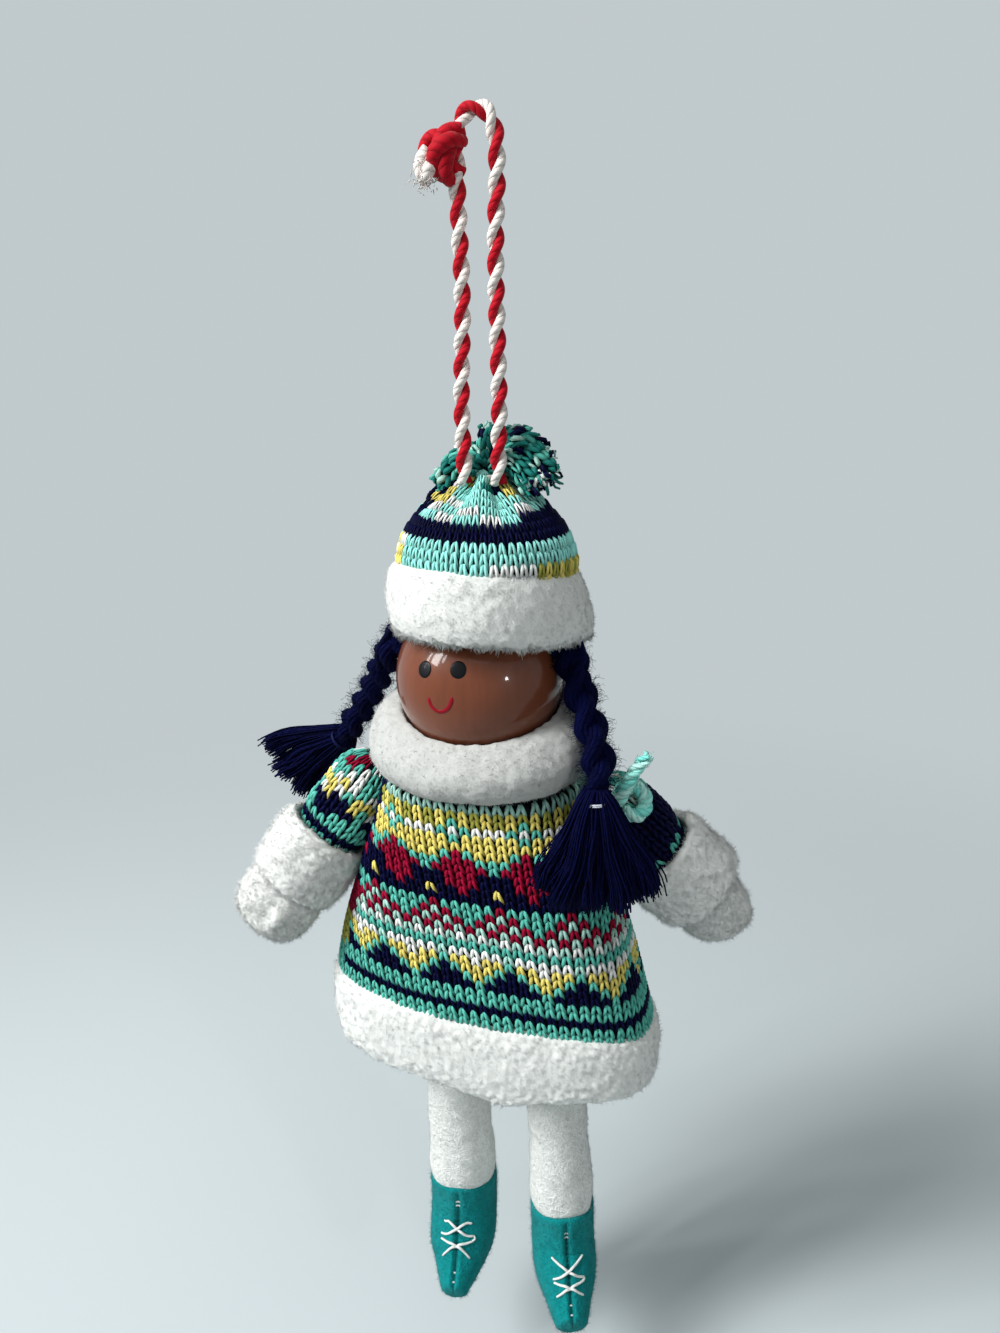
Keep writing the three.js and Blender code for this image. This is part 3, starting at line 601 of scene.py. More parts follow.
# %% Knot
KNOT = np.array(CORD_ROUTE[8])
LOBE = [(1.4, -0.9, 2.6), (-0.6, -2.6, 1.8), (-2.2, -2.8, -0.6), (-1.6, -1.4, -3.4), (0.3, 0.8, -3.6)]
SECOND_LOBE = [(0.6, -1.6, 1.6), (-2.8, -1.0, 2.4), (-4.6, -1.2, 0.6), (-4.4, -2.0, -2.0)]
KNOT_TAIL = [(-3.6, -2.4, -0.4), (-5.0, -3.0, -2.2), (-5.2, -3.4, -5.0)]
KNOT_HAIRS = 150
KNOT_REDS = [CORD_RED, CORD_RED * 0.82, CORD_RED * 0.9]
lobe = curve_through(KNOT + LOBE, 30)
bulge = 0.62 + 0.5 * np.sin(np.linspace(0.2, np.pi - 0.2, 30))
knot_parts = laid(lobe, 2.5, 16, KNOT_REDS, start=0.7, sides=9, taper=bulge)
second = curve_through(KNOT + SECOND_LOBE, 26)
bulge = np.linspace(0.9, 1.05, 26)
knot_parts += laid(second, 2.2, 15, [CORD_RED * 0.9, CORD_RED], start=1.9, sides=9, taper=bulge)
tail = curve_through(KNOT + KNOT_TAIL, 22)
swell = 1.05 - 0.5 * np.linspace(0, 1, 22) ** 4
knot_parts += laid(tail, 2.4, 18, [CORD_WHITE, CORD_WHITE * 0.94], start=1.2, sides=9, taper=swell)
root = tail[chance.integers(10, 22, KNOT_HAIRS)] + chance.normal(0, 1.0, (KNOT_HAIRS, 3))
stop = root + chance.normal(0, 0.4, (KNOT_HAIRS, 3)) + (-0.2, -0.1, -0.3)
hairs = np.stack([root, (root + stop) / 2, stop], 1)
knot_parts.append(sweep(hairs, [0.12, 0.1, 0.05], 3, CORD_WHITE, ends=False))
cord_knot = make("cord_knot_lump", knot_parts, cord_yarn, "hanging_loop", "cord_yarn", ["cord_knot"])
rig.cord(
    hanging_cord,
    exit=[v * MM for v in CORD_ROUTE[0]],
    length=cord_length * MM,
    diameter=CORD_D * MM,
    far_end="object",
    stiffness="limp",
    lay="hanging",
    path=(cord_path * MM).tolist(),
    with_pieces=[cord_knot],
)

# %% [markdown]
# ## Lacquer
#
# The head is a turned ball under a glossy brown lacquer, with faint upright streaks where the brush went.
# The lacquer is a clear coat over the brown, so the window shows as a sharp highlight while the colour
# below stays soft. The streaks are noise that is stretched upwards.


# %% Lacquer
def lacquer_of(name, tint, streak, rough, coat):
    """A brushed paint: streaks of a darker and a paler tint, under a clear coat."""
    material = bpy.data.materials.new(name)
    material.use_nodes = True
    tree = material.node_tree
    shader = tree.nodes["Principled BSDF"]
    place = wire(tree, "ShaderNodeTexCoord").outputs["Object"]
    tall = wire(tree, "ShaderNodeMapping", {"Vector": place, "Scale": (900, 900, 35)})
    brush = wire(tree, "ShaderNodeTexNoise", {"Vector": tall.outputs[0], "Scale": 1.0, "Detail": 3.0})
    pools = wire(tree, "ShaderNodeTexNoise", {"Vector": place, "Scale": 60.0, "Detail": 2.0})
    mixed = sums(tree, "ADD", brush.outputs[0], sums(tree, "MULTIPLY", pools.outputs[0], 0.8))
    shades = wire(tree, "ShaderNodeValToRGB", {0: sums(tree, "MULTIPLY", mixed, 0.56)})
    for stop, factor, at in zip(shades.color_ramp.elements, (1 - streak, 1 + streak), (0.3, 0.7)):
        stop.color = (*np.clip(tint * factor, 0, 1), 1)
        stop.position = at
    tree.links.new(shades.outputs[0], shader.inputs["Base Color"])
    raised = {"Strength": 0.05, "Distance": 0.1 * MM, "Height": brush.outputs[0]}
    raised = wire(tree, "ShaderNodeBump", raised)
    tree.links.new(raised.outputs[0], shader.inputs["Normal"])
    shader.inputs["Roughness"].default_value = rough
    shader.inputs["Specular IOR Level"].default_value = 0.12
    shader.inputs["Coat Weight"].default_value = coat
    shader.inputs["Coat Roughness"].default_value = 0.08
    shader.inputs["Coat IOR"].default_value = 1.3
    return material


brown_lacquer = lacquer_of("brown_lacquer", ink("6e3c27"), 0.14, 0.36, 1.0)
black_paint = lacquer_of("black_paint", ink("05070b"), 0.1, 0.4, 0.15)
red_paint = lacquer_of("red_paint", ink("820c1c"), 0.08, 0.5, 0.1)
print("paints:", brown_lacquer.name, black_paint.name, red_paint.name)

# %% [markdown]
# ## Head
#
# The ball is a UV sphere with many segments, which keeps its edge round, made a hair flatter than a true
# ball. Its points are moved to their place, and the object itself stays at the origin.

# %% Head
BODY = np.array([-3.4, -0.8, 0.0])
HEAD = BODY + (0, 0, -106.6)
HEAD_R = 18.0
HEAD_FLAT = 0.992


def round_solid(name, segments, rings, half, middle):
    """A smooth round solid with the half sizes and the middle that are given."""
    bpy.ops.mesh.primitive_uv_sphere_add(segments=segments, ring_count=rings, radius=1, location=(0, 0, 0))
    obj = bpy.context.object
    obj.name = name
    shrink = Matrix.Diagonal((*(np.asarray(half) * MM), 1))
    obj.data.transform(Matrix.Translation(np.asarray(middle) * MM) @ shrink)
    bpy.ops.object.shade_smooth()
    return obj


ball = round_solid("head_lacquered_ball", 96, 64, (HEAD_R, HEAD_R, HEAD_FLAT * HEAD_R), HEAD)
settle(ball, brown_lacquer, "doll_body", "painted_ball", ["head_ball"])

# %% [markdown]
# ## Face
#
# Two round eyes and a small smile are painted on the ball. They are thin films of paint a little proud of
# the lacquer: real pieces keep their edges sharp at any size of picture, where a painted mask would blur.

# %% Face
FACE_TURN = 9.0
EYES = ((-13.8, 20.6), (12.2, 23.2))
EYE_RINGS = ((1.0, -0.05), (0.97, 0.05), (0.8, 0.08), (0.4, 0.09), (0.05, 0.09))


def on_ball(turn, rise, proud):
    """A point of the ball: degrees to the doll's left of its face and above its middle."""
    a, e = np.radians(turn - FACE_TURN), np.radians(rise)
    way = np.stack([np.sin(a) * np.cos(e), -np.cos(a) * np.cos(e), np.sin(e)], -1)
    return HEAD + (HEAD_R + np.asarray(proud)[..., None]) * way


around = full_turn(40)
eyes = []
for turn, rise in EYES:
    rings = []
    for share, proud in EYE_RINGS:
        across = 5.4 * share * np.cos(around) / np.cos(np.radians(rise))
        rings.append(on_ball(turn + across, rise + 5.7 * share * np.sin(around), proud + 0 * around))
    eyes.append(skin(rings, (0.1, 0.1, 0.1)))
make("face_eyes", eyes, black_paint, "doll_body", "painted_ball")
bow = np.radians(np.linspace(180, 360, 36))
smile = on_ball(8.4 * np.cos(bow), 4.4 + 9.8 * np.sin(bow) + 1.2 * np.cos(bow), 0.02 + 0 * bow)
thick = 0.43 * np.minimum(1, 2.2 * np.sin(np.linspace(0.25, np.pi - 0.25, 36)))
smile_parts = [sweep(smile[None], thick[None], 10, (0.5, 0, 0), unit(smile - HEAD)[None], 0.3)]
make("face_smile", smile_parts, red_paint, "doll_body", "painted_ball")

# %% [markdown]
# ## Knitting
#
# The cap, dress and sleeves are stocking stitch worn upside down, so each stitch shows as a small pointed
# arch. An arch is two short fat yarns that meet at the top, in front, and go apart behind the arch below.
# Modelling every stitch is what makes knitting look knitted: the edges of the pattern step from stitch to
# stitch, and the light catches each leg. A chart gives each stitch its colour, row by row, as a knitter
# would read it. The stitches lie on a surface that is told by a share of the way round and a drop.

# %% Stitches
DYES = {
    "n": ink("02042c"), "m": ink("5ab6a6"), "w": ink("e8ebe7"), "y": ink("e0d070"),
    "o": ink("a09f48"), "r": ink("8f0b2f"), "t": ink("227a72"), "g": ink("a2cec2"), "c": ink("98e4da"),
}


def on_cloth(surface, share, drop, out):
    """Points a distance out from a surface, and the way out."""
    point = surface(share, drop)
    round_way = surface(share + 1e-3, drop) - surface(share - 1e-3, drop)
    down_way = surface(share, drop + 0.05) - surface(share, drop - 0.05)
    normal = unit(np.cross(down_way, round_way))
    return point + np.asarray(out)[..., None] * normal, normal


def stitches(surface, columns, rows, tall, from_drop, dye, yarn=0.44, keep=None, long=1.55):
    """Arches of yarn over a surface. dye(column, row) gives a letter of DYES."""
    grid = np.meshgrid(np.arange(rows), np.arange(columns), (-1, 1), indexing="ij")
    row, column, hand = (v.ravel() for v in grid)
    letters = np.array([dye(c, r) for c, r in zip(column, row)])
    chosen = letters != " "
    row, column, hand, letters = row[chosen], column[chosen], hand[chosen], letters[chosen]
    t = np.array([0.0, 0.22, 0.6, 1.0])
    wobble = chance.normal(0, 0.035, (len(row), 1))
    across = hand[:, None] * (0.1 + 0.3 * t**0.9) + 0.05 * t + wobble
    share = (column[:, None] + 0.5 + across) / columns
    drop = from_drop + tall * (row[:, None] + long * t + chance.normal(0, 0.04, (len(row), 1)))
    out = np.broadcast_to([0.42, 0.66, 0.52, 0.05], share.shape)
    paths, facing = on_cloth(surface, share, drop, out)
    middle = surface(share[:, 1], drop[:, 1])
    width = np.linalg.norm(surface(share[:, 1] + 0.5 / columns, drop[:, 1]) - middle, axis=-1) * 2
    thick = yarn * np.clip(width / 2.45, 0.5, 1.12)[:, None] * np.array([0.62, 0.98, 1.0, 0.5])
    dyed = np.array([DYES[k] for k in letters])
    dyed = dyed * chance.uniform(0.8, 1.1, (len(row), 1))
    # Painted shade and highlight: each leg is tinted a little lighter at its top and much darker at its foot, where it
    # goes under the next row.
    tint = np.minimum(dyed[:, None] * np.array([1.1, 1.1, 0.9, 0.4])[:, None], 0.9)
    if keep is not None:
        shown = keep(paths[:, 1])
        paths, facing, thick, tint = paths[shown], facing[shown], thick[shown], tint[shown]
    return sweep(paths, thick, 5, tint, facing, 0.8)


def backing(surface, drops, columns, out, tint):
    """The closed cloth behind the stitches, tinted near black as painted shade for the gaps between them."""
    share = np.arange(columns) / columns
    rows = [on_cloth(surface, share, np.full(columns, d), np.full(columns, out))[0] for d in drops]
    return skin(rows, tint)


print("dyes:", "".join(DYES))

# %% [markdown]
# ## Dress form
#
# The dress is stuffed and widens to the hem. Its section is an oval, a little squarer than an ellipse. The
# knitted cloth keeps one width of stitch, so places on the oval have to be found by true length round it.
# A table of lengths for ovals of many shapes is made once, and looked up for each stitch.

# %% Dress form
NECKLINE = -128.9
DRESS_DROPS = [0, 0.5, 2.8, 8.5, 18, 38, 54, 58]
DRESS_WIDE = [8, 19.5, 22.2, 23.4, 25.8, 32.7, 37.1, 37.9]
HEM_TILT = 0.03
DRAWN_UP = 2.9
OVAL_SQUARE = 0.8
ASPECTS = np.linspace(0.9, 2.5, 33)
LENGTHS = np.linspace(0, 1.1, 111)
dress_run = curve_through(np.stack([DRESS_DROPS, DRESS_WIDE, np.zeros(8)], -1), 120)
quarter_turn = np.linspace(0, np.radians(100), 401)


def squared(wave):
    return np.sign(wave) * np.abs(wave) ** OVAL_SQUARE


turn_table, quarters = [], []
for aspect in ASPECTS:
    run = run_along(np.stack([aspect * squared(np.sin(quarter_turn)), squared(np.cos(quarter_turn))], -1))
    quarters.append(np.interp(np.pi / 2, quarter_turn, run))
    turn_table.append(np.interp(LENGTHS, run / quarters[-1], quarter_turn))
turn_table = np.array(turn_table)


def dress_half(drop):
    """Half width and half depth of the dress at a drop below its neckline."""
    wide = np.interp(drop, dress_run[:, 0], dress_run[:, 1])
    deep = (15.5 + 2 * np.clip(drop / 14, 0, 1)) * np.clip(wide / 19.5, 0, 1)
    return wide, deep


def quarter_length(wide, deep):
    return deep * np.interp(wide / deep, ASPECTS, quarters)


def dress_turn(wide, deep, length):
    """The turn from the middle of the front at a length round the oval, looked up in the table."""
    a = np.clip((wide / deep - ASPECTS[0]) / (ASPECTS[1] - ASPECTS[0]), 0, len(ASPECTS) - 1.001)
    s = np.clip(np.abs(length) / quarter_length(wide, deep) / 0.01, 0, len(LENGTHS) - 1.001)
    i, j = a.astype(int), s.astype(int)
    p, q = a - i, s - j
    upper = turn_table[i, j] * (1 - q) + turn_table[i, j + 1] * q
    lower = turn_table[i + 1, j] * (1 - q) + turn_table[i + 1, j + 1] * q
    return np.sign(length) * (upper * (1 - p) + lower * p)


def drawn_up(x, drop):
    """How far the knitting is pulled up by its seams: least at the doll's left side."""
    return (DRAWN_UP - 0.0035 * np.maximum(x, 0) ** 2) * np.clip(drop / 20, 0, 1)


def dress_point(angle, drop):
    wide, deep = dress_half(drop)
    soft = 0.25 * np.sin(3 * angle + drop / 9) + 0.2 * np.sin(5 * angle - drop / 6)
    x = (wide + soft) * squared(np.cos(angle))
    y = (deep + soft) * squared(np.sin(angle))
    z = NECKLINE - drop - HEM_TILT * x * np.clip(drop / 50, 0, 1.1) + drawn_up(x, drop)
    return BODY + np.stack([x, y, z], -1)


print("half width at the hem:", DRESS_WIDE[-1])

# %% [markdown]
# ## Dress knitting
#
# The dress is cut from knitted cloth and sewn at both sides, so the side seams cut across the pattern. Each
# half is therefore laid out from its own middle, and a little aslant, as hand-cut knitting often lies. The
# chart repeats every six stitches: a yellow yoke, red diamonds on navy, a red zigzag, and yellow points
# between navy hills. Near the seams the bands run plain.

# %% Dress knitting
DRESS_COLUMNS = 38
STITCH_WIDE = 2.52
STITCH_LEAN = 0.117
ROW_TALL = 1.96
FIRST_ROW = -1.3
# The first two rows, under the collar, are teal and grey-white: painted shade on the yarn that the collar covers.
DRESS_CHART = [
    "tttttt", "gggggg", "oyoyoy", "myoyoy", "wmwwwm", "myyyyy", "yyyyyy", "rmyyym", "rrmmmr", "rrrmrr",
    "rrnnnr", "rrnnnr", "rnnynn", "nnnnnn", "mmmrmm", "mmrgrm", "mrgrgr", "rgrgrg", "gwgwgw", "mmmmmm",
    "wwwgww", "wyymyy", "yymnmy", "ymnnnm", "mnnnnn", "mmmmmm", "mmmmmm", "nnnnnn", "mmmmmm", "mmmmmm",
]


def panel_length(columns_out, middle, drop):
    """The length from a panel's middle, so many stitches out, with the lean of its rows."""
    return columns_out * STITCH_WIDE + middle + STITCH_LEAN * (drop - 39)


def dress_panel(face, middle):
    """The front (-1) or back (1) of the dress, as a surface for stitches. middle places its pattern."""

    def surface(share, drop):
        wide, deep = dress_half(drop)
        length = panel_length((share - 0.5) * DRESS_COLUMNS, middle, drop)
        return dress_point(face * np.pi / 2 + dress_turn(wide, deep, length), drop)

    return surface


def dress_dye(face, middle):
    def dye(column, row):
        drop = FIRST_ROW + ROW_TALL * (row + 0.7)
        reach = quarter_length(*dress_half(np.array(drop)))
        length = panel_length(column + 0.5 - DRESS_COLUMNS / 2, middle, drop)
        if abs(length) > reach + 0.6 or drop < 0.6:
            return " "
        if length * face > reach - (5 if face > 0 else 8.4 if row < 15 else 10.7 if row < 22 else 9.2):
            return "n" if row < 16 else "r" if row < 21 else "o" if row < 26 else "m"
        return DRESS_CHART[row][(column + 5) % 6]

    return dye


around = full_turn(140)
# The closed cloth under the dress stitches is tinted near black as painted shade for the gaps between them.
painted_shade_lining = [dress_point(around, np.full(140, d)) for d in np.linspace(0.3, 57.8, 40)]
dress_parts = [skin(painted_shade_lining, ink("071018"))]
for face, middle in ((-1, 0.57), (1, 0.0)):
    panel, dye = dress_panel(face, middle), dress_dye(face, middle)
    dress_parts.append(stitches(panel, DRESS_COLUMNS, len(DRESS_CHART), ROW_TALL, FIRST_ROW, dye))
make("dress_knitting", dress_parts, knitting_yarn, "doll_body", "knitwear", ["dress_knit", "body_stuffing"])

# %% [markdown]
# ## Fleece trim
#
# Brim, collar, hem and cuffs are strips of white fleece, rolled and sewn on. A roll is a soft-cornered
# ring that is never quite even. Smooth noise moves its points in and out, and cell noise adds round nubs,
# which are largest on the curly fleece of the hem.


# %% Uneven cloth
def lumpy(points, normals, size, height, seed, nubs=0.0, nub_size=1.6):
    """Points moved in and out by smooth noise of a size, and by round nubs."""
    moved = points.copy().reshape(-1, 3)
    flat = normals.reshape(-1, 3)
    for i, p in enumerate(moved):
        at = Vector(p / size) + Vector((seed, seed * 1.7, 0))
        up = height * (noise.noise(at) + 0.5 * noise.noise(at * 2.3))
        if nubs:
            near = noise.voronoi(Vector(p / nub_size) + Vector((0, 0, seed)))[0][0]
            up += nubs * (0.55 - near)
        moved[i] = p + up * flat[i]
    return moved.reshape(points.shape)


def grid_normals(rows):
    down = np.gradient(rows, axis=0)
    down[0], down[-1] = rows[1] - rows[-1], rows[0] - rows[-2]
    round_way = np.roll(rows, -1, 1) - np.roll(rows, 1, 1)
    normal = unit(np.cross(round_way, down))
    middle = rows.mean(0, keepdims=True)
    return normal * np.sign((normal * (rows - middle)).sum())


trial = lumpy(np.zeros((1, 3)), np.ones((1, 3)), 6.0, 0.3, 1.3)
print("noise moves one point by", trial[0].round(3))

# %% [markdown]
# ## Nap
#
# Thousands of short fibres stand on the fleece, plush and felt. A hair system could grow them, but meshes
# export as they are. A fibre takes the light as the cloth below it does, which keeps the nap soft instead
# of hairy, and neighbours lean the same way, so the nap gathers into tufts.

# %% Nap
TUFT_WAYS = chance.normal(0, 1.6, (3, 15))
TUFT_STARTS = chance.uniform(0, 2 * np.pi, 15)


def tufts(points):
    """A smooth random lean, so that fibres near each other go the same way."""
    return np.sin(points @ TUFT_WAYS + TUFT_STARTS).reshape(-1, 3, 5).sum(-1) / 2


def fibres(part, count, length, thick, lean, tint, comb=(0, 0, 0), where=None, curl=0.35, clump=0.0):
    """Short straight fibres standing on a part, spread evenly over its area."""
    points = part["points"]
    split = np.concatenate([part["tris"], part["quads"][:, [0, 1, 2]], part["quads"][:, [0, 2, 3]]])
    a, b, c = (points[split[:, i]] for i in range(3))
    normal = np.cross(b - a, c - a)
    size = np.linalg.norm(normal, axis=1)
    if where is not None:
        size = size * where((a + b + c) / 3, unit(normal))
    pick = chance.choice(len(split), count, p=size / size.sum())
    s, t = chance.random((2, count, 1))
    s, t = np.where(s + t > 1, 1 - s, s), np.where(s + t > 1, 1 - t, t)
    root = a[pick] + s * (b - a)[pick] + t * (c - a)[pick]
    stray = lean * chance.normal(0, 1, (count, 3))
    way = unit(unit(normal[pick]) + stray + np.asarray(comb) + clump * tufts(root))
    tall = length * chance.uniform(0.55, 1.25, (count, 1))
    bend = curl * tall * chance.normal(0, 1, (count, 3))
    paths = np.stack([root - 0.15 * way, root + tall * way + bend], 1)
    tint = np.asarray(tint) * chance.uniform(0.93, 1.05, (count, 1))
    # Painted shade: each fibre is tinted darker at its root and a little lighter at its tip.
    tints = np.clip(tint[:, None] * np.array([0.92, 1.02])[:, None], 0, 0.95)
    nap = sweep(paths, thick * np.array([1.0, 0.25]), 3, tints, ends=False)
    nap["lit"] = np.repeat(unit(normal[pick]), 6, axis=0)
    return nap


print("waves that lean the tufts:", TUFT_WAYS.shape[1])

# %% [markdown]
# ## Rolled strips
#
# Each trim is told by a function that puts a point of the roll's section at a turn round the doll. The
# rest is the same for all four: make the rows uneven twice, at a coarse and a fine size, and plant fibres.

# %% Rolled strips
FLEECE = ink("eceeea")


def roll(thick, tall, steps, corner=0.75):
    """The section of a roll, between an ellipse (1) and a box (0)."""
    turn = full_turn(steps)
    across, up = (np.sign(v) * np.abs(v) ** corner for v in (np.cos(turn), np.sin(turn)))
    return thick / 2 * across, tall / 2 * up


def fleece_ring(
    place, thick, tall, around, steps, count, seed, nubs=0.0, length=0.75, comb=(0, 0, 0), where=None,
    lump=0.3, grain=0.08, corner=0.75, tint=FLEECE,
):
    """A rolled strip. place(out, up, turn) puts a point of the roll's section round the ring."""
    out, up = roll(thick, tall, steps, corner)
    turn = full_turn(around)
    rows = np.stack([place(o, u, turn) for o, u in zip(out, up)])
    normals = grid_normals(rows)
    rows = lumpy(lumpy(rows, normals, 6.0, lump, seed, nubs), normals, 1.5, grain, seed)
    base = skin(rows, tint, looped=True)
    return [base, fibres(base, count, length, 0.05, 0.35, tint, comb, where, 0.25, 0.7)]


print("a roll 4 by 8 mm reaches out and up by", [float(v.max().round(2)) for v in roll(4, 8, 16)])

# %% [markdown]
# ## Brim
#
# The cap's brim is a wide turned-up band. It leans in at the top and sits lower at the back, as a cap is
# worn. Longer fibres hang from its lower edge over the ball, where the nap shows against the brown.

# %% Brim
BRIM_MIDDLE = -86.5
CAP = np.array([-1.0, 0.0, 0.0])
CAP_R = 18.6
CAP_SLOPE = 0.17


def brim_place(out, up, turn):
    r = 19.0 + out - (0.12 + 0.1 * np.cos(turn)) * (up + 2) + 0.2 * np.sin(3 * turn + 1)
    y = r * np.sin(turn)
    z = BRIM_MIDDLE + up - 0.3 * np.cos(turn) + 0.25 * np.sin(2 * turn + 0.6) - CAP_SLOPE * (y + CAP_R)
    return CAP + np.stack([r * np.cos(turn), y, z], -1)


def outside_cap(points, normals):
    return ((points[:, :2] * normals[:, :2]).sum(1) > -8).astype(float)


def lower_edge(points, normals):
    return outside_cap(points, normals) * (normals[:, 2] < -0.5)


brim_parts = fleece_ring(
    brim_place, 4.8, 14.6, 240, 64, 11000, 1.3, where=outside_cap, comb=(0, 0, -0.2), lump=0.3, length=0.45,
    corner=0.88, nubs=0.3, grain=0.14, tint=FLEECE * 0.9,
)
brim_parts.append(fibres(brim_parts[0], 3200, 1.0, 0.09, 0.3, FLEECE, (0, 0, -0.2), lower_edge, 0.3, 0.9))
make("cap_brim_fleece", brim_parts, fleece, "doll_body", "fleece", ["cap_brim"])

# %% [markdown]
# ## Collar
#
# The collar is a fat roll round the underside of the ball, thicker in front. Points that would fall inside
# the ball are pushed out to its surface, so the roll hugs the ball instead of cutting it.

# %% Collar
COLLAR_BOTTOM = -128.6
COLLAR_GAP = 0.55


def collar_place(out, up, turn):
    r = 19.4 + out - 0.12 * np.maximum(up - 1, 0)
    y = r * np.sin(turn)
    z = COLLAR_BOTTOM + (up + 8.4) * (1 + 0.34 * y / 26.5)
    x = BODY[0] + r * np.cos(turn)
    away = np.stack([x, BODY[1] + y * 23 / 26.5, z + 0 * turn], -1) - HEAD
    far = np.linalg.norm(away, axis=-1, keepdims=True)
    return HEAD + away * np.maximum(1, (HEAD_R + COLLAR_GAP) / far)


def off_the_ball(points, normals):
    return (np.linalg.norm(points - HEAD, axis=1) > HEAD_R + 1.6).astype(float)


# The collar's fleece is tinted far greyer than the other trim, as painted shade under the head.
collar_parts = fleece_ring(
    collar_place, 12, 16.2, 240, 72, 12000, 4.1, where=off_the_ball, comb=(0, 0, -0.12), lump=0.36,
    length=0.5, corner=1.0, nubs=0.3, grain=0.14, tint=FLEECE * 0.6,
)
make("collar_fleece", collar_parts, fleece, "doll_body", "fleece", ["collar"])

# %% [markdown]
# ## Hem
#
# The hem is a wide band of curly fleece that follows the oval of the dress. Its top edge rises with the
# drawn-up knitting, and its lower edge hangs unevenly.

# %% Hem
HEM_MIDDLE = -194.6
HEM_TALL = 18.0
HEM_WIDE = 37.7
HEM_DEEP = 17.3
HEM_OVAL = (38.0, HEM_DEEP)


def hem_place(out, up, turn):
    share = turn / (np.pi / 2)
    side = np.floor((share + 1) / 2)
    wide, deep = (np.full(turn.shape, v) for v in HEM_OVAL)
    angle = np.pi * side + dress_turn(wide, deep, (share - 2 * side) * quarter_length(wide, deep))
    x = (HEM_WIDE + out) * squared(np.sin(angle))
    y = -(HEM_DEEP + out) * squared(np.cos(angle))
    top = np.clip(up / HEM_TALL + 0.5, 0, 1)
    low = (1.2 - 2.8 * np.exp(-(((x - 6) / 10) ** 2))) * np.clip(-y / 10, -0.3, 1)
    z = HEM_MIDDLE + up - 1.1 * HEM_TILT * x + top * drawn_up(x, 58) + (1 - top) * low
    return BODY + np.stack([x, y, z], -1)


hem_parts = fleece_ring(
    hem_place, 4.6, HEM_TALL, 480, 96, 17000, 2.2, nubs=0.55, length=0.8, lump=0.3, grain=0.1,
    tint=FLEECE * 0.92,
)
make("dress_hem_fleece", hem_parts, fleece, "doll_body", "fleece", ["dress_hem"])

# %% [markdown]
# ## Base panel
#
# A plain cloth panel closes the stuffed body above the hem. It is seen only from below, between the legs.
# A ball pressed flat into the hem's oval is enough.

# %% Base panel
PANEL_HALF = (35.2, 14.5, 0.75)
PANEL_Z = -194.45
panel = round_solid("base_panel_cloth", 64, 16, PANEL_HALF, (BODY[0], BODY[1], PANEL_Z))
panel_cloth = nap_finish("panel_cloth", 900, 3800, 0.3, 0.95, 0.05, (0.5, 0.15), ink("cfd2cd"))
settle(panel, panel_cloth, "doll_body", "panel_cloth", ["base_panel"])

# %% [markdown]
# ## Cap
#
# The cap is a knitted tube drawn together at the top. Its surface turns in towards the gather, and folds
# into pleats there, because the same number of stitches has to fit into a small circle.

# %% Cap surface
CAP_RUN = curve_through(
    [
        (2.3, -63.0, 0), (3.3, -64.6, 0), (7.6, -66.9, 0), (12.4, -69.9, 0), (16.0, -73.4, 0),
        (17.8, -77.2, 0), (18.0, -80.2, 0), (16.6, -84.0, 0),
    ],
    160,
)
CAP_LENGTH = run_along(CAP_RUN)[-1]
PLEATS = 9


def at_share(table, share):
    """Rows of a table at a share of the way from its first row to its last."""
    at = np.clip(share, 0, 1) * (len(table) - 1)
    return np.stack([np.interp(at, np.arange(len(table)), table[:, k]) for k in range(3)], -1)


def cap_surface(share, drop):
    angle = 2 * np.pi * share
    r, z, _ = np.moveaxis(at_share(CAP_RUN, drop / CAP_LENGTH), -1, 0)
    fold = np.clip(1 - drop / 15, 0, 1) ** 0.8 * np.clip(drop / 2.5, 0, 1)
    pleat = np.cos(PLEATS * angle + 0.8 * np.sin(2 * angle))
    r = r + 0.9 * fold * pleat
    z = z + 1.1 * fold * pleat + 0.35 * np.sin(2 * angle + 0.5) * np.clip(drop / 12, 0, 1)
    y = r * np.sin(angle)
    z = z - CAP_SLOPE * np.clip((-65.4 - z) / 15, 0, 1) * (y + CAP_R)
    return CAP + np.stack([r * np.cos(angle), y, z], -1)


print("cap, from gather to brim in mm:", round(CAP_LENGTH, 1))

# %% [markdown]
# ## Cap pattern
#
# The pattern of the cap doesn't repeat: the cloth was cut and gathered, so each pleat shows other colours.
# A few columns of letters give the pleats that face the viewer, and the back repeats one of them.

# %% Cap pattern
CAP_COLUMNS = 60
CAP_ROWS = 14
CAP_TALL = CAP_LENGTH / CAP_ROWS
CAP_TOP = [
    (26, "tttmmmm"), (28, "tmnnynn"), (32, "ttwyywm"), (34, "tymmwmw"), (37, "mmmmmwm"), (40, "mmtmmmw"),
    (42, "tnnmmmm"), (45, "tyyymwn"), (48, "tmmwmmn"),
]


def cap_letter(stitch, column, row):
    if row < 7:
        letters = next(letters for end, letters in CAP_TOP if column < end)
        return letters[row] if column >= 26 else "tmmwmmn"[(row + column // 5) % 7]
    if row < 9:
        return "n"
    if 26 <= column < 29:
        return "ywy"[(row + column) % 3]
    if row < 11:
        return "m"
    return "w" if 38 <= column < 42 else "yo"[stitch % 2] if column >= 42 or column < 3 else "m"


def cap_dye(stitch, row):
    return cap_letter(stitch, stitch * 48 // CAP_COLUMNS, row).replace("m", "c")


# The backing is tinted near black as painted shade for the gaps between the stitches.
cap_parts = [
    backing(cap_surface, np.linspace(0.05, CAP_LENGTH, 40), 120, -0.1, ink("0b1a20")),
    stitches(cap_surface, CAP_COLUMNS, CAP_ROWS, CAP_TALL, -0.6, cap_dye, yarn=0.48),
]
make("cap_knitting", cap_parts, knitting_yarn, "doll_body", "knitwear", ["cap_crown"])

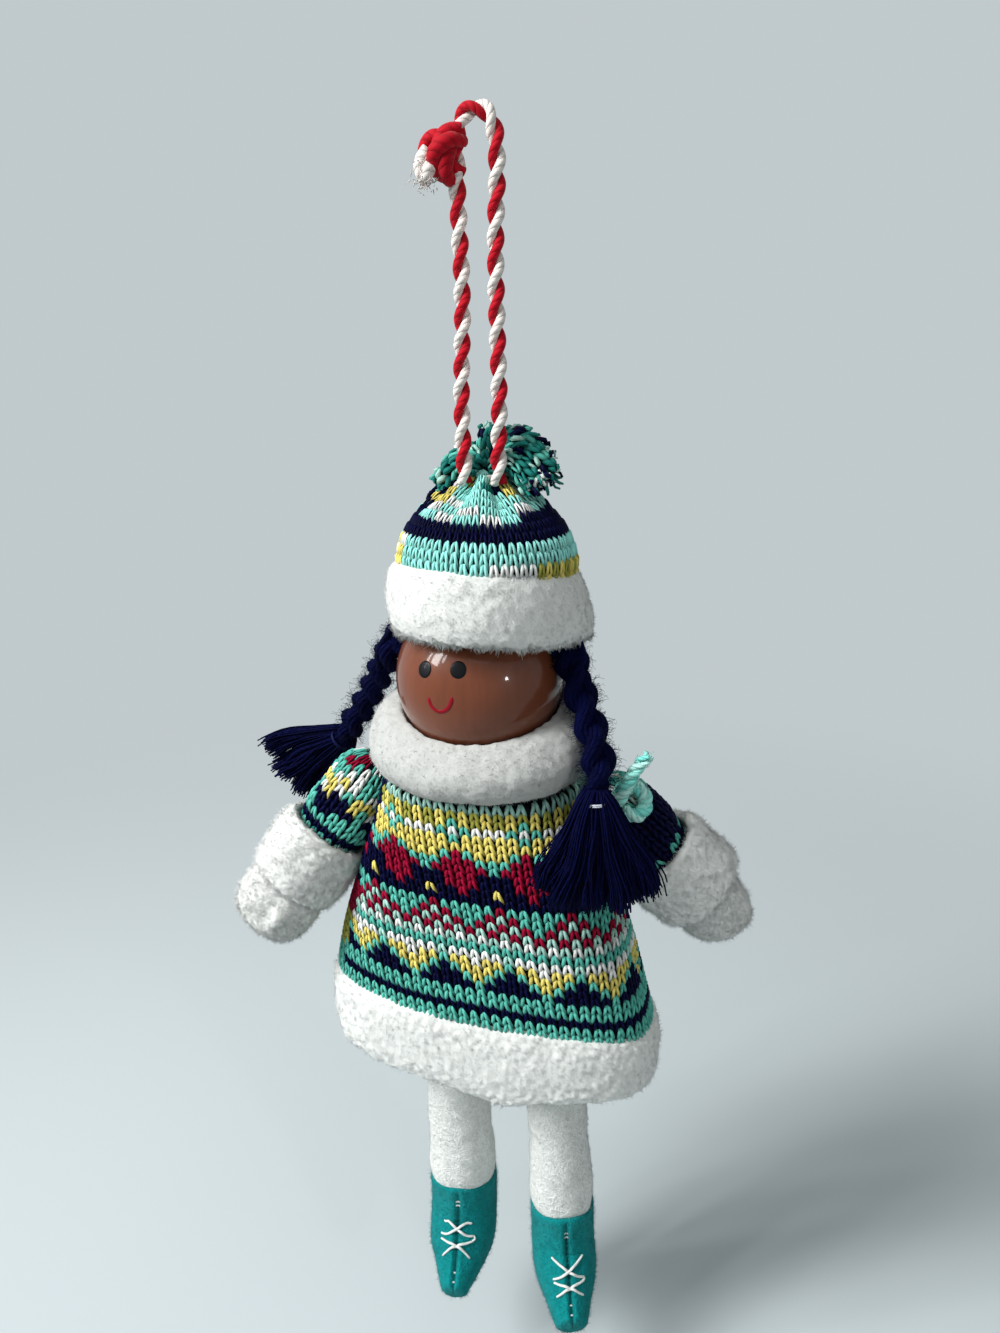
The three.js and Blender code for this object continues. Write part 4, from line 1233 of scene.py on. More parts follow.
# %% [markdown]
# ## Gathering thread
#
# The gather is held by a few turns of white thread. One tube wound round the neck of the gather is enough.

# %% Gathering thread
wind = np.linspace(0, 6 * np.pi, 70)
thread_path = np.stack([3.1 * np.cos(wind), 3.1 * np.sin(wind), -64.4 + 0.04 * wind], -1)
thread_parts = [sweep(thread_path[None], 0.3, 7, ink("e8e6df"))]
make("cap_gathering_winding", thread_parts, sewing_thread, "doll_body", "thread", ["cap_gathering_thread"])

# %% [markdown]
# ## Fringe
#
# Above the gather the knitted tube is cut into strips that curl outwards and fray. Each strip is a narrow
# flat tube of stitches along a bent spine, and its end has short thick cut yarns. A tuft of loose hairs
# alone would look like a pompom, so the strips keep the knitting visible.

# %% Fringe
FRINGE = [
    (-18, 10.6, 1.6, -2.6), (-2, 12.8, 3.2, -1.4), (18, 11.4, 5.0, 2.4), (42, 8.2, 6.0, 5.6),
    (82, 4.0, 6.6, 6.8), (132, 7.0, 3.4, 2.6), (158, 9.6, 2.4, -0.6), (182, 10.0, 1.2, -3.4),
]
# The strips' tones are mostly teal and navy: partly the colours of the yarn and partly painted shade on the strips.
FRINGE_TONES = ("tmgtmt", "nttmgt", "tngtmn", "ntmttg", "gtmtnt", "tmgttn", "gttnmt", "tmttgm")
FRINGE_Z = -63
CUT_ENDS = 44
SIDEWAYS = np.array([0, 1.0, 0])


def strip_surface_of(spine, ahead, turn, number, length):
    def strip_surface(share, drop):
        """A narrow flat tube of knitting: the share goes round it, the drop from its tip to its root."""
        middle = at_share(spine, 1 - drop / length)
        way = at_share(ahead, 1 - drop / length)
        up = np.cross(way, np.broadcast_to(-SIDEWAYS, way.shape))
        angle = -2 * np.pi * share
        ruffle = 0.7 * np.sin(angle * 2 + number) * np.clip(1 - drop / length, 0, 1)
        opened = 1.4 + 1.1 * np.clip(1.1 - drop / length, 0, 1)
        side = (opened * np.cos(angle))[..., None] * SIDEWAYS
        point = middle + side + (1.5 * np.sin(angle) + ruffle)[..., None] * up
        return point @ turn.T

    return strip_surface


def cut_ends(tip, away, beside):
    """Short thick yarns that stick out of the end of a strip."""
    spread = chance.uniform(-2.6, 2.6, (CUT_ENDS, 1)) * beside
    start = tip + spread + chance.normal(0, 0.7, (CUT_ENDS, 3)) - 1.2 * away
    bend = start + chance.uniform(0.6, 1.4, (CUT_ENDS, 1)) * away + chance.normal(0, 0.4, (CUT_ENDS, 3))
    stop = bend + chance.uniform(0.1, 0.7, (CUT_ENDS, 1)) * away + chance.normal(0, 0.5, (CUT_ENDS, 3))
    tint = np.array([DYES[k] for k in chance.choice(list("tngtgtnw"), CUT_ENDS)])
    thick = chance.uniform(0.26, 0.5, (CUT_ENDS, 1)) * np.array([1.0, 0.95, 0.7])
    return sweep(np.stack([start, bend, stop], 1), thick, 5, tint[:, None])


fringe_parts = []
for number, ((heading, reach, rise, end), tones) in enumerate(zip(FRINGE, FRINGE_TONES)):
    spine = [(0.8, 0, 0), (0.25 * reach, 0, 0.7 * rise), (0.6 * reach, 0, rise), (reach, 0, end)]
    spine = curve_through(np.array(spine) + (0, 0, FRINGE_Z), 30)
    turn = np.array(Matrix.Rotation(math.radians(heading), 3, "Z"))
    ahead = unit(np.gradient(spine, axis=0))
    length = run_along(spine)[-1]
    strip = strip_surface_of(spine, ahead, turn, number, length)
    rows = round(length / 1.9)
    # The backing is tinted near black as painted shade for the gaps between the stitches.
    fringe_parts += [
        backing(strip, np.linspace(0.2, length, 8), 16, -0.1, ink("0c2226")),
        stitches(
            strip, 6, rows, length / rows, -0.6, lambda c, r: tones[(c + 4 * r) % 6], yarn=0.62, long=1.2
        ),
        cut_ends(*(v @ turn.T for v in (spine[-1], ahead[-1], SIDEWAYS))),
    ]
make("cap_fringe_cut_ends", fringe_parts, knitting_yarn, "doll_body", "knitwear", ["cap_fringe"])

# %% [markdown]
# ## Arms
#
# An arm is a knitted sleeve, a fleece cuff and a plush mitten in one line, leaning out from the shoulder.
# It is modelled hanging straight down and then turned to its place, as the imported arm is. The arms of a
# hand-made doll differ, so each side has its own lean, plumpness and chart.

# %% Arm places
HANDS = {"left": 1, "right": -1}
SHOULDER_OUT = 29.5
SHOULDER_Z = NECKLINE - 7.2
ARM_LEAN = {"left": 41, "right": 36}
ARM_FORWARD = {"left": -15, "right": 20}
# Painted light: the doll's left cuff and mitten are tinted lighter than the right ones, to lift the shade on that
# side.
ARM_PAINTED_LIGHT = {"left": 1.12, "right": 1.0}


def arm_place(side):
    """A function that takes points of a hanging arm to their place on the doll."""
    hand = HANDS[side]
    lean = Matrix.Rotation(math.radians(-hand * ARM_LEAN[side]), 3, "Y")
    turn = lean @ Matrix.Rotation(math.radians(-ARM_FORWARD[side]), 3, "X")
    spot = BODY + (hand * SHOULDER_OUT, 0, SHOULDER_Z)
    return lambda points: points @ np.array(turn).T + spot


print("left hand hangs at", arm_place("left")(np.array([0, 0, -36.0])).round(1))

# %% [markdown]
# ## Sleeves
#
# A sleeve is a short knitted tube. Stitches that the dress or the collar would hide are left out. The
# sleeve bends between the dress and the arm, because its seam stays on the dress when the arm is lifted.

# %% Sleeves
SLEEVE_ALONG = [-8, -7.4, -5.6, -3, 0, 8, 14.2, 15.8, 16.8]
SLEEVE_R = [0.4, 3.0, 5.7, 7.4, 8.0, 8.4, 6.8, 6.6, 6.4]
SLEEVE_CHARTS = {
    "left": (
        "mwmmwm", "wmmwmm", "mwmmwm", "nmnnmn", "nnnnnn", "nnnnnn", "nnnnnn", "nnnnnn", "nnnnnn", "mmnmmn",
        "nnnnnn", "mmtmmt",
    ),
    "right": (
        "mrrmwm", "rrmwmm", "mmwwmm", "mwywmw", "yywmyy", "wynnym", "nnnnnm", "mnnmmm", "mmmmmm", "nnnnnn",
        "mmtmmt", "myomwo",
    ),
}
sleeve_bend = {}


def outside_body(points):
    """Points that the dress and the collar don't hide."""
    x, y, z = (points - BODY).T
    drop = NECKLINE - z
    wide = np.interp(drop, dress_run[:, 0], dress_run[:, 1])
    in_dress = (drop > 0) & ((x / (wide - 1)) ** 2 + (y / 16.5) ** 2 < 1)
    in_collar = (drop < 0.5) & ((x / 25.5) ** 2 + (y / 22) ** 2 < 1)
    return ~(in_dress | in_collar)


def make_sleeve(side, body, place):
    def surface(share, drop):
        angle = 2 * np.pi * share
        r = np.interp(drop, SLEEVE_ALONG, SLEEVE_R) + 0.25 * np.sin(3 * angle + drop / 3)
        return place(np.stack([r * np.cos(angle), r * np.sin(angle), -drop + 0 * angle], -1))

    chart = SLEEVE_CHARTS[side]
    # The backing is tinted near black as painted shade for the gaps between the stitches.
    parts = [
        backing(surface, np.linspace(-7.9, 16.4, 24), 60, -0.1, ink("0b1a20")),
        stitches(
            surface, 21, len(chart), ROW_TALL, -7.0, lambda c, r: chart[r][c % 6], yarn=0.5, keep=outside_body
        ),
    ]
    nodes = [f"sleeve_{side}", f"arm_stuffing_{side}"]
    sleeve = make(f"sleeve_knitting_{side}", parts, knitting_yarn, None, "knitwear", nodes)
    seam = BODY + (HANDS[side] * 25, 0, -130)
    sleeve_bend[side] = [v * MM for v in seam], [v * MM for v in place(np.array([0, 0, -6.0]))]
    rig.blend(sleeve, "doll_body", body, *sleeve_bend[side])


print("rows in each sleeve:", {side: len(chart) for side, chart in SLEEVE_CHARTS.items()})

# %% [markdown]
# ## Cuffs and mittens
#
# The cuff is a fleece roll round the wrist. The mitten is a stuffed skin: rows of ovals with a swelling for
# the thumb, a crease beside it, and a bend at the wrist where the left one droops. It is declared padded,
# because its shape comes from the stuffing.

# %% Cuffs and mittens
PLUSH = ink("e6e8e4")
WRIST = -28.0
MITTEN_DROOP = {"left": 14, "right": 0}
MITTEN_PLUMP = {"left": 0.88, "right": 1.0}
MITTEN_ALONG = [-42.9, -42.4, -41.4, -39.4, -36.8, -34.2, -32, -30, -27.5, -24, -20]
MITTEN_R = [0.6, 4.8, 7.2, 8.6, 9.3, 9.6, 9.6, 9.2, 7.6, 6.5, 6.2]


def make_cuff(side, body, place):
    def cuff_place(out, up, turn):
        r = 9.3 + out + 0.3 * np.sin(2 * turn + 1)
        return place(np.stack([r * np.cos(turn), r * np.sin(turn), -21.2 + up + 0 * turn], -1))

    # The cuff's tint carries the painted light of its side.
    parts = fleece_ring(
        cuff_place, 3.2, 15.4, 150, 80, 19000, 5.0 + HANDS[side], nubs=0.35, length=0.9, lump=0.5, grain=0.2,
        tint=0.92 * ARM_PAINTED_LIGHT[side] * FLEECE,
    )
    make(f"cuff_fleece_{side}", parts, fleece, body, "fleece", [f"cuff_{side}"])


def mitten_rows(thumb_side, droop, plump):
    run = curve_through(np.stack([MITTEN_ALONG, MITTEN_R, np.zeros(11)], -1), 60)
    turn = full_turn(80)
    rows = []
    for z, w, _ in run * (1, plump, 1):
        flat = 0.68 + 0.32 * np.clip((z + 31) / 4, 0, 1)
        rows.append(np.stack([w * np.cos(turn), flat * w * np.sin(turn), z + 0 * turn], -1))
    rows = np.array(rows)
    thumb = np.array([3.2, 5.2 * thumb_side, -36.4])
    near = np.exp(-(((rows - thumb) / (2.6, 3.0, 3.6)) ** 2).sum(-1))
    rows[..., 1] += 1.9 * thumb_side * near
    crease = np.exp(-(((rows - (0.4, 5.2 * thumb_side, -35.6)) / (1.0, 3, 3.4)) ** 2).sum(-1))
    rows[..., 1] -= 0.9 * thumb_side * crease
    rows = lumpy(rows, grid_normals(rows), 5.0, 0.35, 3.0, nubs=0.22)
    bent = math.radians(droop) * thumb_side * np.clip((WRIST - rows[..., 2]) / 4, 0, 1)
    x, up = rows[..., 0], rows[..., 2] - WRIST
    turned = x * np.cos(bent) + up * np.sin(bent), WRIST + up * np.cos(bent) - x * np.sin(bent)
    rows[..., 0], rows[..., 2] = turned
    return rows


def make_mitten(side, body, place):
    rows = mitten_rows(HANDS[side], MITTEN_DROOP[side], MITTEN_PLUMP[side])
    # The mitten's tint carries the painted light of its side.
    plush_with_painted_light = PLUSH * ARM_PAINTED_LIGHT[side]
    mitten = skin(place(rows.reshape(-1, 3)).reshape(rows.shape), plush_with_painted_light * 0.97)
    nap = fibres(mitten, 14000, 0.75, 0.055, 0.5, plush_with_painted_light, clump=0.7)
    hand_piece = make(f"mitten_plush_{side}", [mitten, nap], plush, body, "plush", [f"mitten_{side}"])
    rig.padded(hand_piece, fill=0.7)


for side in HANDS:
    for make_piece in (make_sleeve, make_cuff, make_mitten):
        make_piece(side, f"arm_{side}", arm_place(side))

# %% [markdown]
# ## Loose yarn end
#
# On the left shoulder a thick end of mint yarn curls round and stands up. It is a soft yarn of three
# plies, so it is laid like the cord, and its last few millimetres come apart into strands. It is sewn to
# the sleeve, so it bends as the sleeve does.

# %% Loose yarn end
CURL_WAY = Vector((0.47, -0.63, 0.6)).normalized()
CURL_TAIL = np.array([(0.8, 0.1, 1.6), (2.0, 0.4, 4.4), (3.9, 0.8, 7.8), (6.2, 1.2, 10.6)])
CURL_HAIRS = 260
MINTS = [ink("a6f4e8"), ink("82e4d8"), ink("c2f9f0")]
curl = []
for i in range(9):
    turn = math.radians(-150 + 40 * i)
    out = 2.7 + 0.1 * i
    x, y = out * math.cos(turn), out * math.sin(turn)
    curl.append((x, y, math.sqrt(9.9**2 - x**2 - y**2) + 0.16 * i))
curl = np.array(curl) @ np.array(CURL_WAY.to_track_quat("Z", "Y").to_matrix()).T
curl = np.concatenate([curl, curl[-1] + CURL_TAIL])
curl_path = curve_through(curl + BODY + (SHOULDER_OUT, 0, SHOULDER_Z), 110)
taper = np.interp(np.arange(110), [0, 80, 109], [1, 1, 0.55])
yarn_parts = laid(curl_path, 1.6, 7.5, MINTS, sides=8, taper=taper)
seat = chance.integers(4, 109, CURL_HAIRS)
start = curl_path[seat] + chance.normal(0, 0.5, (CURL_HAIRS, 3))
onward = 0.5 * unit(np.gradient(curl_path, axis=0))[seat]
bend = start + chance.normal(0, 0.55, (CURL_HAIRS, 3)) + onward
stop = bend + chance.normal(0, 0.6, (CURL_HAIRS, 3))
yarn_parts.append(sweep(np.stack([start, bend, stop], 1), [0.08, 0.07, 0.03], 3, MINTS[2], ends=False))
loose_end = make("shoulder_yarn_curl", yarn_parts, cord_yarn, None, "mint_yarn", ["shoulder_yarn_end"])
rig.blend(loose_end, "doll_body", "arm_left", *sleeve_bend["left"])

# %% [markdown]
# ## Legs
#
# A leg is a tube of short white plush that is stuffed firmly, so it stands round with only slight dents.
# It goes a little way into the boot, which closes round it.

# %% Legs
LEG_X = {"left": 15.0, "right": -10.4}
LEG_PIVOT = -203.9
BOOT_TOP = {"left": -247.8, "right": -244.8}
SLIM = {"left": 0.91, "right": 0.97}
LEAN = {"left": 1.3, "right": 0.0}
LEG_R = [0.4, 2.6, 5.2, 7.4, 8.4, 8.1, 8.2, 8.6, 8.75, 8.7, 8.3, 7.2]


def leg_part(side):
    top = BOOT_TOP[side] - LEG_PIVOT
    along = [8.4, 8.0, 6.6, 4.0, 0, 0.3 * top, 0.6 * top]
    along += [top + 7, top + 3, top + 0.4, top - 1.8, top - 3.2]
    run = curve_through(np.stack([along, LEG_R, np.zeros(12)], -1), 70)
    turn = full_turn(60)
    rows = np.array([np.stack([w * np.cos(turn), w * np.sin(turn), z + 0 * turn], -1) for z, w, _ in run])
    rows[..., :2] *= SLIM[side]
    rows[..., 0] += LEAN[side] * rows[..., 2] / top
    rows = rows + BODY + (LEG_X[side], 0, LEG_PIVOT)
    return skin(lumpy(rows, grid_normals(rows), 7.0, 0.35, 6.0 + LEG_X[side]), PLUSH * 1.03)


for side in HANDS:
    leg = leg_part(side)
    parts = [leg, fibres(leg, 9000, 0.42, 0.05, 0.6, PLUSH, comb=(0, 0, -0.3))]
    nodes = [f"leg_{side}", f"leg_stuffing_{side}"]
    piece = make(f"leg_plush_{side}", parts, leg_plush, f"leg_{side}", "plush", nodes)
    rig.padded(piece, fill=0.9)

# %% [markdown]
# ## Boot form
#
# A boot is two pieces of thick felt joined down the front, stuffed, and pointed at the toe. Its spine bends
# forwards from the ankle, and its sections narrow along it. The seam is a groove in the sections, so the
# light finds it from every side.

# %% Boot form
FOOT_TURN = {"left": 20, "right": 8}
BOOT_R = 8.9
BOOT_DROP = 23.5
BOOT_REACH = 18.0
BOOT_SPINE = [(0, 0, 0), (0, 0, -0.34), (0, -0.14, -0.66), (0, -0.53, -0.87), (0, -1, -1)]
BOOT_SPINE = curve_through(np.array(BOOT_SPINE) * (0, BOOT_REACH, BOOT_DROP), 101)
BOOT_AHEAD = unit(np.gradient(BOOT_SPINE, axis=0))
TOE_HALF = {"left": 3.9, "right": 3.0}


def from_front(turn):
    """How far a turn is from the front, either way round."""
    return np.abs((turn + np.pi) % (2 * np.pi) - np.pi)


def boot_skin(along, turn, inset=0.0, toe=3.0):
    """A point of the boot: along from 0 at its top to 1 at its toe, turn from 0 at the front."""
    middle, way = at_share(BOOT_SPINE, along), at_share(BOOT_AHEAD, along)
    front = np.cross(way, np.broadcast_to([1.0, 0, 0], way.shape))
    t = np.clip((along - 0.55) / 0.57, 0, 1)
    wide = BOOT_R + (toe - BOOT_R) * t * t * (3 - 2 * t)
    deep = wide + 0.6 * np.sin(np.pi * np.minimum(1, along / 0.9))
    near = from_front(turn) * wide
    groove = 0.75 * np.exp(-((near / 0.55) ** 2)) - 0.3 * np.exp(-(((near - 1.3) / 0.8) ** 2))
    deep = deep - inset - groove * np.clip(along / 0.05, 0, 1)
    across = np.stack([-(wide - inset) * np.sin(turn), 0 * turn, 0 * turn], -1)
    across[..., 2] -= 2.2 * np.sin(turn) ** 2 * np.clip(1 - along / 0.35, 0, 1)
    return middle + (deep * np.cos(turn))[..., None] * front + across


def foot_place(side):
    turn = np.array(Matrix.Rotation(math.radians(FOOT_TURN[side]), 3, "Z"))
    spot = BODY + (LEG_X[side] + LEAN[side], 0, BOOT_TOP[side])
    return lambda points: points * (SLIM[side], 1, 1) @ turn.T + spot


print("boot, from ankle to toe in mm:", round(run_along(BOOT_SPINE)[-1], 1))

# %% [markdown]
# ## Boots
#
# Each boot is a felt skin with a rolled rim, a closed toe and a light fuzz. The groove of the seam alone
# looks shallow, so the felt is also tinted darker along it: painted shade, as a deep seam would have.

# %% Boots
TEAL = ink("0a8586")
RIM = ((0.12, 1.3), (0.04, 1.25), (0.0, 1.1), (-0.004, 0.6), (0.0, 0.12))
TOE = ((0.93, 0.5), (0.72, 0.95), (0.35, 1.1), (0.06, 1.12))
BOOT_ROWS = 46
AROUND = 72


def boot_parts(side, place, on_boot):
    turn = full_turn(AROUND)
    rows = [on_boot(np.full(AROUND, a), turn, i) for a, i in RIM]
    rows += [on_boot(np.full(AROUND, a), turn) for a in np.linspace(0.02, 1.0, BOOT_ROWS)]
    toe = rows[-1]
    for share, ahead in TOE:
        rows.append(toe.mean(0) + share * (toe - toe.mean(0)) + ahead * BOOT_AHEAD[-1])
    rows = place(np.array(rows).reshape(-1, 3)).reshape(-1, AROUND, 3)
    outer = slice(len(RIM), None)
    rows[outer] = lumpy(rows[outer], grid_normals(rows)[outer], 4.0, 0.16, 8.0 + LEG_X[side])
    boot = skin(rows, TEAL)
    # Painted shade: the felt is tinted darker along the front seam, below the rim.
    below = np.clip((np.arange(len(rows)) - 9) / 6, 0, 1)
    seam = 1 - 0.72 * np.exp(-((from_front(turn) / 0.07) ** 2)) * below[:, None]
    boot["tint"] = np.concatenate([TEAL * seam.reshape(-1, 1), [TEAL, TEAL]])
    return [boot, fibres(boot, 6500, 0.6, 0.05, 0.6, TEAL * 1.15)]


print("rows of points in a boot:", len(RIM) + BOOT_ROWS + len(TOE))

# %% [markdown]
# ## Laces
#
# Two crosses of white lace go over the seam, joined by one bow at the side, and two pairs of small stitches
# hold the ends of the seam. A lace could be drawn on the felt, but it would have no shadow. The laces are
# tubes that follow the skin a little above it.

# %% Laces
LACE = ink("dee0dd")
LACE_ROWS = {"right": ((0.40, 0.66), (0.70, 0.83)), "left": ((0.56, 0.74), (0.77, 0.87))}
LACE_SAG = {"right": (0.1, 0.0), "left": (0.06, 0.02)}


def lace_parts(side, place, on_boot):
    def lace(at, turn, inset, thick, sides=8, tint=LACE):
        return sweep(place(on_boot(at, turn, inset))[None], thick, sides, tint)

    laces = []
    cross = np.linspace(-1, 1, 17)
    thick = 0.34 * np.sin(np.linspace(0.6, np.pi - 0.6, 17)) ** 0.5
    for hand in (-1, 1):
        for number, (start, stop) in enumerate(LACE_ROWS[side]):
            at = start + (stop - start) * (cross + 1) / 2 + LACE_SAG[side][number] * (1 - cross**2)
            spread = np.radians(24 + 26 * (at - 0.4))
            over = 0.3 * np.exp(-((cross / 0.25) ** 2)) * ((hand > 0) == (number == 0))
            inset = -0.3 - 0.6 * np.exp(-((cross / 0.3) ** 2)) - over
            laces.append(lace(at, hand * cross * spread, inset, thick))
    (_, start), (stop, _) = LACE_ROWS[side]
    bow = np.radians(-(30 + 4 * np.sin(np.linspace(0, np.pi, 9))))
    laces.append(lace(np.linspace(start, stop, 9), bow, np.full(9, -0.3), 0.26))
    across = np.array([-1, -0.4, 0.4, 1])
    for a in (0.12, 0.17, 0.93, 0.985):
        inset = -0.25 + 0.4 * np.abs(across)
        laces.append(lace(np.full(4, a), 0.07 * across, inset, 0.22, 6, ink("dadcd9")))
    return laces


for side in HANDS:
    body, place = f"leg_{side}", foot_place(side)
    on_boot = functools.partial(boot_skin, toe=TOE_HALF[side])
    nodes = [f"boot_{side}", f"boot_stuffing_{side}"]
    piece = make(f"boot_felt_{side}", boot_parts(side, place, on_boot), felt, body, "felt", nodes)
    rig.padded(piece, fill=0.8)
    laces = lace_parts(side, place, on_boot)
    make(f"boot_lacing_{side}", laces, sewing_thread, body, "thread", [f"boot_lace_{side}"])

# %% [markdown]
# ## Plaits
#
# Each plait starts under the brim and is three thick strands woven over and under each other. A strand is
# a bundle of navy yarns, so it is made of several thin tubes round one path, with loose fibres standing
# off all the way down.

# %% Plaits
NAVY = ink("02052b")
PLAITS = {
    "left": [
        (18.6, -0.8, -95.5), (20.4, -1.2, -101.3), (22.2, -3.0, -106.6), (27.7, -10.0, -118.0),
        (28.2, -14.2, -126.4),
    ],
    "right": [
        (-16.4, -0.5, -96.6), (-19.6, -0.2, -101.0), (-23.65, 3, -106.6), (-31.6, 9.4, -118.6),
        (-41.05, 13.4, -131.1),
    ],
}
PLAIT_PITCH = 21.0
STRAND_YARNS = 14
LOOSE_HAIRS = 900
SHOWN = slice(0, 88)


def navy(count, spread=0.25):
    """Tints of navy for so many yarns."""
    return NAVY * chance.uniform(1 - spread, 1 + 2 * spread, (count, 1))


def strand_parts(strand, middle, out, across):
    run = run_along(middle)
    phase = 2 * np.pi * (run / PLAIT_PITCH + strand / 3)
    narrow = np.clip((run[-1] - run) / 5, 0.4, 1)[:, None]
    path = middle + 2.0 * narrow * np.sin(phase)[:, None] * across
    path = path + 1.15 * narrow * np.sin(2 * phase)[:, None] * out
    yarns = []
    for n in range(STRAND_YARNS):
        lay = (phase * 0.6 + n * 2 * np.pi / 10)[:, None]
        off = (0.6 if n > 9 else 1.35) * (np.cos(lay) * out + np.sin(lay) * across)
        yarns.append((path + off * narrow**0.5)[SHOWN])
    yarns = np.array(yarns)
    parts = [sweep(yarns, 0.58, 6, navy(STRAND_YARNS)[:, None])]
    size, places = (LOOSE_HAIRS, 1), (LOOSE_HAIRS, 3)
    seat = chance.integers(2, 84, LOOSE_HAIRS)
    root = yarns[chance.integers(0, 10, LOOSE_HAIRS), seat]
    way = unit(root - middle[SHOWN][seat])
    bend = root + way * chance.uniform(0.1, 1.1, size) ** 1.5 + chance.normal(0, 0.5, places)
    curl = bend + way * chance.uniform(0.1, 0.8, size) + chance.normal(0, 0.6, places)
    stop = curl - way * 0.4 + chance.normal(0, 0.6, places)
    hairs = np.stack([root, bend, curl, stop], 1)
    return parts + [sweep(hairs, [0.045, 0.04, 0.035, 0.02], 3, NAVY * 1.4, ends=False)]


print("yarns in a plait:", 3 * STRAND_YARNS)

# %% [markdown]
# ## Plait roots
#
# Under the brim the yarns of a plait lie side by side like a fan before they gather into the strands. Each
# is a tube through four places, which are told by its place in the fan.

# %% Plait roots
ROOT_FAN = {"left": 3.3, "right": 2.0}
ROOT_YARNS = 18


def make_plait(side, body, middle):
    hand, fan = HANDS[side], ROOT_FAN[side]
    ahead = unit(np.gradient(middle, axis=0))
    out = np.array([hand, -0.4, 0.0])
    out = unit(out - (ahead @ out)[:, None] * ahead)
    across = np.cross(ahead, out)
    for strand in range(3):
        nodes = [f"plait_strand_{strand + 1}_{side}"]
        parts = strand_parts(strand, middle, out, across)
        make(f"plait_yarns_{strand + 1}_{side}", parts, hair_yarn, body, "navy_yarn", nodes)
    crown = []
    for s in np.linspace(-1, 1, ROOT_YARNS):
        places = [
            middle[0] + (fan * s, -1.5 * s * s - 0.4, 0.6),
            middle[12] + (0.88 * fan * s + 0.5 * hand, -2.0, 0),
            middle[24] + 2.4 * s * across[24] + 1.4 * out[24],
            middle[34] + 1.3 * s * across[34] + 0.4 * out[34],
        ]
        crown.append(curve_through(places, 18))
    parts = [sweep(np.array(crown), 0.7, 6, navy(ROOT_YARNS)[:, None])]
    make(f"plait_root_yarns_{side}", parts, hair_yarn, body, "navy_yarn", [f"plait_root_{side}"])


print("yarns in each root:", ROOT_YARNS)

# %% [markdown]
# ## Tassels
#
# Below the thread tie the yarns are combed open into a tassel of fine ends. They fall in locks, because
# combed yarn clings together, so each hair belongs to a lock and shares most of its sway.

# %% Tassels
TASSEL_END = {"left": (29.05, -17, -149.1), "right": (-57.4, 15.6, -145.0)}
TASSEL_FACING = {"left": (0.25, -0.97, 0), "right": (-0.4, 0.92, 0)}
# The left tie is tinted pale silver as a painted glint; the right tie is tinted dark navy.
TIE_TINT_AND_GLINT = {"left": ink("c4c8d2"), "right": ink("141a44")}
TASSEL_LOCKS = {
    "left": (-0.97, -0.78, -0.55, -0.36, -0.16, 0.05, 0.27, 0.47, 0.68, 0.93),
    "right": (-0.9, -0.44, -0.26, -0.08, 0.1, 0.28, 0.46, 0.66, 0.88),
}
TASSEL_HAIRS = 1250


def tassel_hairs(side, length):
    """Hairs of a tassel, told across, in front of and down from its tie."""
    locks = np.array(TASSEL_LOCKS[side])
    lock = chance.integers(0, len(locks), TASSEL_HAIRS)
    depth = 0.45 * np.sin(np.arange(len(locks)) * 2.4 + 1)[lock] + chance.normal(0, 0.28, TASSEL_HAIRS)
    spread = chance.normal(0, 0.07, TASSEL_HAIRS)
    reach = length * (1 - 0.12 * np.abs(locks) ** 2 + chance.normal(0, 0.035, len(locks)))[lock]
    reach = reach * chance.uniform(0.86, 1.03, TASSEL_HAIRS)
    t = np.linspace(0, 1, 11)
    x = 11.6 * (locks[lock, None] * (0.1 + 0.9 * t**0.8) + spread[:, None] * (0.5 + 0.9 * t))
    y = 4.0 * depth[:, None] * (0.5 + 0.6 * t) + 1.1 * np.sin(np.pi * t)
    z = reach[:, None] * t - 2.6 * (1 - t) ** 3
    x = x + 0.7 * np.sin(2.2 * np.pi * t + 1.7 * lock[:, None]) * t
    y = y + 0.6 * np.sin(1.8 * np.pi * t + 2.9 * lock[:, None]) * t
    return x[..., None], y[..., None], z[..., None], t[:, None]


def make_tassel(side, body, foot):
    fall = np.array(TASSEL_END[side]) + BODY - foot
    down = unit(fall)
    face = np.array(TASSEL_FACING[side])
    face = unit(face - (face @ down) * down)
    wide = np.cross(down, face)
    wind = np.linspace(0, 4 * np.pi, 60)[:, None]
    ring = foot + 2.75 * (np.cos(wind) * wide + np.sin(wind) * face) + (0.5 - 0.05 * wind) * down
    tie_parts = [sweep(ring[None], 0.2, 6, TIE_TINT_AND_GLINT[side])]
    make(f"plait_tie_thread_{side}", tie_parts, sewing_thread, body, "thread", [f"plait_tie_{side}"])
    x, y, z, t = tassel_hairs(side, np.linalg.norm(fall))
    paths = foot + x * wide + y * face + z * down
    beat = chance.uniform(1.5, 3.5, (TASSEL_HAIRS, 1, 3))
    start = chance.uniform(0, 2 * np.pi, (TASSEL_HAIRS, 1, 3))
    paths += 0.28 * np.sin(beat * np.pi * t + start) * (0.2 + t)
    hairs = sweep(paths, 0.21 * np.linspace(1.1, 0.8, 11), 4, navy(TASSEL_HAIRS)[:, None])
    make(f"tassel_ends_{side}", [hairs], hair_yarn, body, "navy_yarn", [f"tassel_{side}"])


for side in HANDS:
    middle = curve_through(np.array(PLAITS[side]) + BODY, 90)
    make_plait(side, f"plait_{side}", middle)
    make_tassel(side, f"plait_{side}", middle[-1])

# %% [markdown]
# ## Inside the cap
#
# The plaits are the two ends of one hank that crosses the ball under the cap. Only its ends show, so a
# few yarns over the ball are enough. The wooden dowel in the neck stays as it was imported, and gets a
# plain wood grain.

